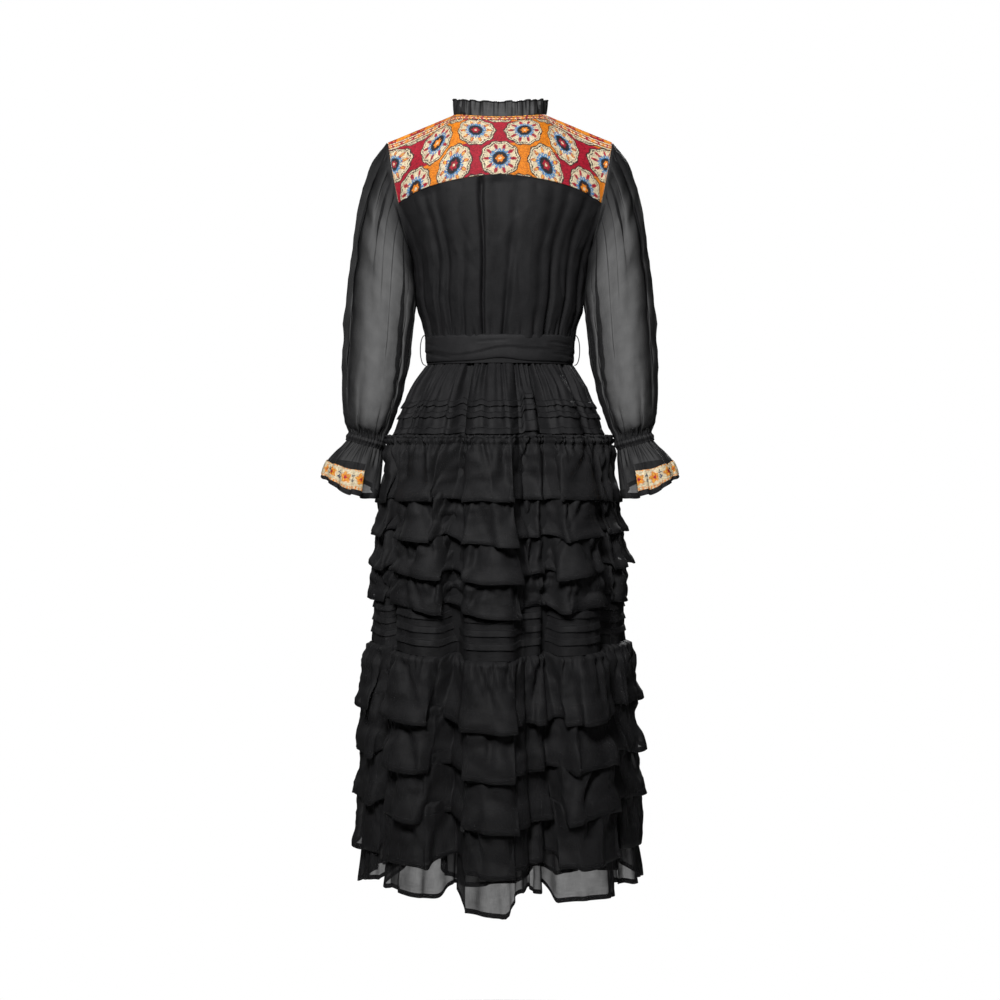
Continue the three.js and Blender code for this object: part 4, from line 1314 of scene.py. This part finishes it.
def make_placket():
    line = front_line(60)
    normal = unit(np.stack([np.zeros(len(line)), np.gradient(line[:, 2]), -np.gradient(line[:, 1])], axis=1))
    width = 2 * (PLACKET_HALF - GAP)
    outer = [(t, 0.7 + 0.25 * math.sin(math.pi * (t + 0.5))) for t in np.linspace(-0.5, 0.5, 12)]
    inner = [(t, -0.5) for t in np.linspace(0.5, -0.5, 12)]
    loop = outer + inner
    grid = np.stack([line + normal * up + np.array([t * width, 0, 0]) for t, up in loop], axis=1)
    cloth_piece("placket", grid, CREPE, "crepe")
    return line, normal


def ring_faces(rings, sides, turned):
    """Faces between rings of points and over both ends. Rings that are turned run the other way round."""
    faces = []
    for ring in range(rings - 1):
        for i in range(sides):
            j = (i + 1) % sides
            a, b = (j, i) if turned else (i, j)
            faces.append((ring * sides + a, ring * sides + b, (ring + 1) * sides + b, (ring + 1) * sides + a))
    way = 1 if turned else -1
    faces.append(tuple(range(sides))[::way])
    faces.append(tuple(range((rings - 1) * sides, rings * sides))[::-way])
    return faces


def lathe(name, profile, sides, material, place, rotation):
    """A round solid from a profile of radius and height pairs, closed at both ends."""
    turns = np.linspace(0, 2 * np.pi, sides, endpoint=False)
    rings = [np.stack([r * np.cos(turns), r * np.sin(turns), np.full(sides, h)], axis=1) for r, h in profile]
    placed = np.concatenate(rings) @ np.array(rotation).T + place
    return make_mesh(name, placed, ring_faces(len(profile), sides, False), material)


def button_material():
    n = Nodes("black_button")
    place = n.add("ShaderNodeTexCoord").outputs["Object"]
    cloud = n.noise(place, 350, 2)
    n.set(n.shader.inputs["Base Color"], n.between(cloud, (0.008, 0.008, 0.009), (0.02, 0.019, 0.02)))
    n.set(n.shader.inputs["Roughness"], 0.3)
    n.bump(n.noise(place, 1500, 2), 0.1, 0.0002)
    return n.material


BUTTON_PROFILE = [
    (0.4, 0.3), (2.6, 0.3), (3.4, 0.5), (3.9, 1.4), (4.6, 1.75), (5.2, 1.5), (5.5, 0.8),
    (5.5, 0.1), (5.0, -0.5), (3.0, -0.75), (0.4, -0.75),
]
# A button's threads: their radius, where they go through it, and how far they rise over its middle
BUTTON_THREAD = {"radius": 0.28, "aside": 1.3, "up": 0.32, "over": 0.35}


def make_buttons():
    line, normal = make_placket()
    material = button_material()
    count = len([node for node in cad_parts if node.startswith("button_")])
    for i in range(count):
        node = f"button_{i + 1}"
        low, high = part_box(node)
        middle = (np.array(low) + np.array(high)) / 2 / MM
        nearest = int(np.argmin(np.abs(line[:, 2] - middle[2])))
        out = normal[nearest]
        side = np.array([1.0, 0, 0])
        rotation = np.stack([side, np.cross(out, side), out], axis=1)
        profile = BUTTON_PROFILE[::-1]
        piece = lathe(f"{node}_shell", profile, 32, material, middle, rotation)
        dress_piece(piece, "button", node)
        holes = []
        for k in range(4):
            turn = math.pi / 4 + k * math.pi / 2
            aside = BUTTON_THREAD["aside"]
            spot = np.array([aside * math.cos(turn), aside * math.sin(turn), BUTTON_THREAD["up"]])
            holes.append(middle + rotation @ spot)
        for k in range(2):
            crossing = (holes[k] + holes[k + 2]) / 2 + out * BUTTON_THREAD["over"]
            path = np.stack([holes[k], crossing, holes[k + 2]])
            thread = tube(f"{node}_thread_{k + 1}", path, BUTTON_THREAD["radius"], 8, CREPE)
            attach(thread, BODY)


def tube(name, path, radius, sides, material):
    """A round thread along a path, with closed ends."""
    path = np.asarray(path, float)
    ahead = unit(np.gradient(path, axis=0))
    guide = np.array([0.0, 1.0, 0.0]) if abs(ahead[0][1]) < 0.9 else np.array([1.0, 0.0, 0.0])
    turns = np.linspace(0, 2 * np.pi, sides, endpoint=False)
    rings = []
    for point, way in zip(path, ahead):
        a = unit(np.cross(way, guide))
        b = np.cross(way, a)
        rings.append(point + radius * (np.cos(turns)[:, None] * a + np.sin(turns)[:, None] * b))
    return make_mesh(name, np.concatenate(rings), ring_faces(len(path), sides, True), material)


# ---- Sleeves and cuffs ----

SLEEVE_COLUMNS = 300
SLEEVE_ROUND = 350  # how far it is round a sleeve, about half way down
SLEEVE_LONG = 520  # and how far down it
# A sleeve's long folds: where each is at the head and at the wrist, in
# degrees from the outer edge by the back, its width and depth, how far it
# folds over, and the shares of the sleeve's length that it starts and ends at
SLEEVE_FOLDS = table(
    "top low wide deep over start end",
    (40, 34, 10, 4, 1.9, -0.1, 0.9),
    (58, 84, 8, 5, 1.5, -0.3, 0.4),
    (86, 104, 7, 4, 1.2, -0.3, 0.6),
    (118, 150, 10, 6, 1.8, -0.3, 0.9),
    (150, 172, 9, 6, 1.7, 0.0, 1.1),
    (66, 66, 7, 4, 1.4, 0.62, 1.3),
    (112, 116, 6, 4, 1.3, 0.7, 1.3),
    (322, 330, 10, 3.5, 1.6, -0.1, 0.7),
    (298, 276, 8, 5, 1.5, -0.3, 0.5),
    (262, 250, 8, 4, 1.3, -0.3, 0.8),
    (232, 212, 10, 6, 1.7, -0.3, 1.1),
    (204, 190, 8, 5, 1.5, 0.2, 1.1),
)
FOLD_FADE = 0.3  # the share of the sleeve over which a fold begins or ends


def sleeve_ring(sections, row, turn, pressed=0.0):
    """Points round a sleeve at a row of its table, which may lie between two rows. turn is in
    degrees from the outer edge, by the back, and pressed is how flat the outer edge is."""
    keys = np.arange(len(sections))
    names = ("out_x", "out_z", "in_x", "in_z", "deep", "y")
    ox, oz, ix, iz, deep, y = (through(keys, column(sections, name), row) for name in names)
    tilt = through(keys, np.array([section.get("tilt", 0) for section in sections], float), row)
    s, c = np.sin(np.radians(turn)), np.cos(np.radians(turn))
    x = (ox + ix) / 2 + (ox - ix) / 2 * c
    z = (oz + iz) / 2 + (oz - iz) / 2 * c - tilt * s
    thin = np.abs(s) ** (pressed * (1 + c) / 2)
    return np.stack(np.broadcast_arrays(x, y + deep * s * thin, z), axis=-1)


def sleeve_folds(turn, row):
    """How far a sleeve's cloth stands out from its plain shape, and how far it is folded
    over, in degrees: long folds that lie over themselves, and gathers from both ends."""
    share = row / (len(SLEEVE) - 1)
    arc = turn / 360 * SLEEVE_ROUND
    out, side = 0, 0
    for fold in SLEEVE_FOLDS:
        off = (turn - mix(fold["top"], fold["low"], share) + 180) % 360 - 180
        off = off / 360 * SLEEVE_ROUND
        begun = smoothstep(fold["start"], fold["start"] + FOLD_FADE, share)
        life = begun * (1 - smoothstep(fold["end"] - FOLD_FADE, fold["end"], share))
        bell = np.exp(-((off / fold["wide"]) ** 2)) * life
        side = side - fold["over"] * off * bell
        out = out - fold["deep"] * (1.6 * off / fold["wide"] + 0.4) * bell
    head = gathers(arc, SLEEVE_ROUND, share * SLEEVE_LONG, 81, "sleeve_head")
    wrist = gathers(arc, SLEEVE_ROUND, (1 - share) * SLEEVE_LONG, 82, "sleeve_wrist")
    upper = 0.35 + 0.65 * smoothstep(-0.6, 0.3, np.cos(np.radians(turn)))
    soft = crumple(arc, SLEEVE_ROUND, share * SLEEVE_LONG, 83, "sleeve")
    soft = soft * np.sin(np.pi * np.clip(share, 0, 1))
    return out + head * upper + wrist * smoothstep(0.3, 0.7, share) + soft - 1, side / SLEEVE_ROUND * 360


def make_sleeves():
    turn = -np.linspace(0, 360, SLEEVE_COLUMNS, endpoint=False)[None]
    last = len(SLEEVE) - 1
    row = np.concatenate([np.linspace(0, last - 1, 46), np.linspace(last - 1, last, 14)[1:]])[:, None]
    ends = smoothstep(0, 0.5, row) * (1 - 0.5 * smoothstep(last - 0.4, last, row))
    out, side = sleeve_folds(turn % 360, row)
    folded = turn + side * ends
    inner = smoothstep(-0.3, 0.6, -np.cos(np.radians(turn)))
    by_body = inner * (1 - smoothstep(2, 4, row)) * smoothstep(0, 0.5, row)
    out = out * (1 - 0.85 * by_body) + 9 * by_body
    pressed = smoothstep(0.2, 1.5, row) * (1 - smoothstep(last - 1.2, last, row))
    plain = sleeve_ring(SLEEVE, row, folded, pressed)
    ease = (1 - np.clip(row, 0, 1)) ** 2
    s = np.sin(np.radians(folded))
    plain[..., 0] += (SLEEVE_START + ARMHOLE["bulge"] * s * s) * ease
    grid = plain + grid_normals(sleeve_ring(SLEEVE, row, turn, pressed * 0.5), True) * (out * ends)[..., None]
    middle = grid[:1].mean(axis=1, keepdims=True)
    tucked = [middle + (grid[:1] - middle) * (1 - 0.03 * k) - np.array([3.4 * k, 0, 0]) for k in (2, 1)]
    grid = np.concatenate([*tucked, grid])
    share = np.concatenate([[0, 0], row[:, 0] / last])
    fullness = 1 + 0.9 * (1 - smoothstep(0, 0.3, share)) + 0.9 * smoothstep(0.8, 1, share)
    fullness = np.repeat(fullness, SLEEVE_COLUMNS)
    for side_name in ("left", "right"):
        cloth = grid if side_name == "left" else mirrored(grid)
        piece = cloth_piece(f"sleeve_{side_name}", cloth, CHIFFON, "chiffon")
        set_fullness(piece, fullness)


CUFF_COLUMNS = 220
CUFF_ROUND = 230  # how far it is round the flounce
CUFF_LONG = 75  # and how far down it
CUFF_WAVE = 17  # half a wave of its hem
CUFF_LAP = 0.24  # how far the sides of its waves turn in, as a share of a half wave
CUFF_FULLNESS = 1.5  # how many fine folds of it lie over each other
WRIST_ROUND = 150
CUFF_STRIP = {"high": 0.03, "low": 0.8, "turn": 112.5}


def cuff_tables():
    """The flounce's sections, from the elastic down."""
    start = dict(SLEEVE[-1], tilt=0)
    for end in ("out", "in"):
        start[f"{end}_x"] = start[f"{end}_x"] + WRIST[0] * (ELASTIC_HEIGHT + 2 * GAP)
        start[f"{end}_z"] = start[f"{end}_z"] + WRIST[2] * (ELASTIC_HEIGHT + 2 * GAP)
    start["y"] = start["y"] + WRIST[1] * (ELASTIC_HEIGHT + 2 * GAP)
    return [start, *CUFF]


def flounce_points(turn, row, lift=0.0):
    """Points of the left cuff's flounce, moved out of its cloth by a lift."""
    plain = sleeve_ring(cuff_tables(), row, turn)
    arc = turn / 360 * CUFF_ROUND % CUFF_ROUND
    share = np.clip(row / 2, 0, 1)
    fine = gathers(arc, CUFF_ROUND, share * CUFF_LONG, 85, "cuff")
    wave, turned_in = flutes(arc, CUFF_ROUND, 86, CUFF_WAVE)
    closed = abs(turn.flat[0] - turn.flat[-1]) > 300
    normals = grid_normals(plain, closed)
    side = turned_in * CUFF_WAVE * CUFF_LAP / CUFF_ROUND * 360 * share
    plain = sleeve_ring(cuff_tables(), row, turn + side)
    wave = wave * 7 * share**1.2 + 2 * share
    return plain + normals * (fine + wave + lift + 2 * smoothstep(0, 0.3, share))[..., None]


def make_cuffs():
    turn = -np.linspace(0, 360, CUFF_COLUMNS, endpoint=False)[None]
    rows = np.concatenate([np.linspace(-0.12, 1.8, 26), [2]])[:, None]
    flounce = hemmed(flounce_points(turn, rows), True)
    keys = np.linspace(-0.35, 1.35, 11)[:, None]
    wrist = sleeve_ring(SLEEVE, np.full((len(keys), 1), len(SLEEVE) - 1.0), turn)
    arc = (turn % 360) / 360 * WRIST_ROUND
    pinch = gathers(arc, WRIST_ROUND, ALONG_SEAM, 87, "elastic")
    swell = 1.6 * np.sin(np.pi * np.clip(keys, 0, 1)) + 0.6
    elastic = wrist + WRIST * (keys * (ELASTIC_HEIGHT + 1.0) - 0.4)[..., None]
    elastic = elastic + grid_normals(elastic, True) * (pinch + swell + 1.4)[..., None]
    strip_turn = -np.linspace(-CUFF_STRIP["turn"], CUFF_STRIP["turn"], 150)[None]
    strip_rows = 1 + np.linspace(CUFF_STRIP["high"], CUFF_STRIP["low"], 14)[:, None]
    strip = flounce_points(strip_turn, strip_rows, 0.9)
    for side in ("left", "right"):
        cloths = [flounce, elastic, strip]
        if side == "right":
            cloths = [mirrored(cloth) for cloth in cloths]
        outer, gathered, band = cloths
        on = f"cuff_elastic_{side}"
        piece = cloth_piece(f"cuff_flounce_{side}", outer, CHIFFON, "chiffon")
        set_fullness(piece, CUFF_FULLNESS)
        cloth_piece(on, gathered, GEORGETTE, "crepe")
        embroider(f"cuff_band_{side}", band, cuff_design, 88, 0.5)


# ---- Waistband and belt ----

# The edge of the belt's upper turn, round the body from the left side by the back
WRAP_EDGE = table(
    "angle z",
    (-180, -399), (-90, -400), (-55, -396), (-24, -394), (0, -394), (16, -401), (33, -405), (62, -399),
    (90, -399), (180, -399),
)
# Creases in the belt: where each starts and ends, and how deep it is
BELT_CREASES = table(
    "angle z to to_z deep",
    (78, -401, 40, -411, 1.2),
    (84, -383, 55, -391, 0.8),
    (20, -385, -8, -382, 0.6),
    (-38, -384, -75, -389, 1.2),
    (-36, -391, -80, -396, 1.1),
    (-42, -403, -82, -408, 1.2),
    (150, -385, 110, -392, 1),
    (172, -402, 130, -407, 1.3),
    (-150, -384, -112, -391, 1),
    (-170, -404, -128, -406, 1.2),
)


def belt_relief(angle, z):
    """How far the belt's outer face stands out: its upper turn lies over its lower one."""
    edge = through(column(WRAP_EDGE, "angle"), column(WRAP_EDGE, "z"), angle)
    out = 1.7 * smoothstep(-0.8, 0.8, z - edge)
    for crease in BELT_CREASES:
        along = (angle - crease["angle"]) / (crease["to"] - crease["angle"])
        middle = mix(crease["z"], crease["to_z"], along)
        ends = smoothstep(0, 0.2, along) * (1 - smoothstep(0.8, 1, along))
        out = out - 1.6 * crease["deep"] * ends * np.exp(-(((z - middle) / 1.5) ** 2))
    return out + 0.5 * ripple(angle / 360 + z / 900, 91, 14)


def make_waist():
    turn = np.linspace(-180, 180, 280, endpoint=False)
    z = np.linspace(BODICE_HEM, WAIST_SEAM, 8)[:, None]
    grid = trunk_point(turn, z)
    cloth_piece("waistband", grid, CREPE, "crepe")
    outer_z = np.linspace(BELT_TOP, BELT_BOTTOM, BELT_ROWS)
    bulge = 1 - np.abs(np.linspace(-1, 1, BELT_ROWS)) ** 5
    arch = 5 * np.exp(-((turn / 16) ** 2))
    outer = [
        trunk_point(turn, z, BELT_OUT - 1.6 + bulge[i] * 2.1 + belt_relief(turn, z) * min(1, 3 * bulge[i]))
        for i, z in enumerate(outer_z)
    ]
    inner = [trunk_point(turn, z, BELT_OUT - 2.2) for z in outer_z[::-3]]
    grid = np.stack(outer + inner)
    low = np.clip((BELT_TOP - grid[..., 2]) / (BELT_TOP - BELT_BOTTOM), 0, 1)
    grid[..., 2] += arch * low**2 + ripple(turn / 360, 92, 6) * 0.8
    cloth_piece("belt", grid, BELT_CLOTH, "belt_cloth", wrap=True)


def make_knot():
    low, high = (np.array(corner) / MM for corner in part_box("belt_knot"))
    middle = (low + high) / 2
    rows, columns = 34, 60
    tall = np.linspace(0.02, 0.98, rows)[:, None] * np.pi
    turn = np.linspace(0, 2 * np.pi, columns, endpoint=False)[None]
    x, y, z = np.sin(tall) * np.sin(turn), np.sin(tall) * np.cos(turn), np.cos(tall) + 0 * turn
    lean = x + 0.4 * z
    wrap = 1 - smoothstep(0.42, 0.56, np.abs(lean))
    crease = wrap * np.sin(17 * lean + 2 * z * z) * 0.035 + (1 - wrap) * np.sin(13 * z - 5 * x) * 0.05
    size = 0.8 + 0.18 * wrap + crease
    unit = np.stack([x * size, y * size, z * size], axis=-1)
    power = np.sign(unit) * np.abs(unit) ** 0.7
    grid = middle + power * np.array([KNOT["half"], KNOT["deep"], KNOT["high"]])
    piece = make_sheet("belt_knot_cloth", grid, BELT_CLOTH, closed=True)
    cap_ends(piece, rows, columns)
    dress_piece(piece, "belt_cloth", "belt_knot")


def cap_ends(piece, rows, columns):
    """Close the first and last rows of a closed grid's mesh."""
    shape = bmesh.new()
    shape.from_mesh(piece.data)
    shape.verts.ensure_lookup_table()
    shape.faces.new([shape.verts[i] for i in range(columns)][::-1])
    shape.faces.new([shape.verts[(rows - 1) * columns + i] for i in range(columns)])
    shape.to_mesh(piece.data)
    shape.free()


def make_tails():
    z = np.linspace(TAIL[0]["z"], TAIL[-1]["z"], 70)
    near, far = at_height(TAIL, "near", z), at_height(TAIL, "far", z)
    for side, seed in (("left", 95), ("right", 96)):
        ripples = ripple(np.linspace(0, 0.9, len(z)), seed, 3) * 2
        centre_y = tail_front(z)
        across = np.linspace(0, 1, TAIL_COLUMNS)
        rows = []
        for i, height in enumerate(z):
            x = mix(near[i], far[i], across)
            roll = 3 * np.cos(np.pi * across * 2 + i / TAIL_COLUMNS) * min(1, i / 20)
            y = centre_y[i] + roll + ripples[i]
            thin = 0.9 if 0 < i < len(z) - 1 else 0.1
            front = np.stack([x, y - thin, np.full(TAIL_COLUMNS, height)], axis=1)
            back = np.stack([x, y + thin, np.full(TAIL_COLUMNS, height)], axis=1)[::-1]
            rows.append(np.concatenate([front, back]))
        grid = np.stack(rows)
        grid = grid if side == "left" else mirrored(grid)
        cloth_piece(f"belt_tail_{side}", grid, BELT_CLOTH, "belt_cloth")


def tail_front(z):
    """How far forward a belt end hangs at each height: in front of the ridge beside the centre front."""
    out = at_height(TAIL, "out", z)
    front = at_height(SKIRT, "front", np.maximum(z, SKIRT[-1]["z"]))
    front = np.where(z > SKIRT[0]["z"], SKIRT[0]["front"], front)
    fold = np.where(z > SKIRT[0]["z"], 0, at_height(SKIRT, "fold", z))
    return -(front * abs(math.cos(math.radians(TAIL_TURN))) + fold * 0.8 + out * 1.24) - 2


def make_loops():
    half = (BELT_TOP - BELT_BOTTOM) / 2 + LOOP["beyond"]
    middle = (BELT_TOP + BELT_BOTTOM) / 2
    turn = np.linspace(0, np.pi, 30)
    start = trunk_point(90.0, BELT_TOP + LOOP["beyond"], WALL / 2 + 2 * GAP + LOOP["radius"])[0]
    for side, sign in (("left", 1), ("right", -1)):
        x = sign * (start + LOOP["out"] * np.sin(turn) ** 0.8)
        path = np.stack([x, 1.5 * np.sin(2 * turn), middle + half * np.cos(turn)], axis=1)
        piece = tube(f"belt_loop_{side}_thread", path, LOOP["radius"], 10, CREPE)
        dress_piece(piece, "crepe", f"belt_loop_{side}")


make_skirt_top()
cloth_under = np.zeros((MAP["turns"], MAP["rows"]))
make_skirt_mid(cloth_under)
make_tuck_band(cloth_under)
make_skirt_lower(cloth_under)
make_slip()
for number in reversed(range(len(RUFFLES))):
    make_ruffle(number, RUFFLES[number], cloth_under)
make_bodice()
make_yokes()
make_neck_frill()
make_buttons()
make_sleeves()
make_cuffs()
make_waist()
make_knot()
make_tails()
make_loops()
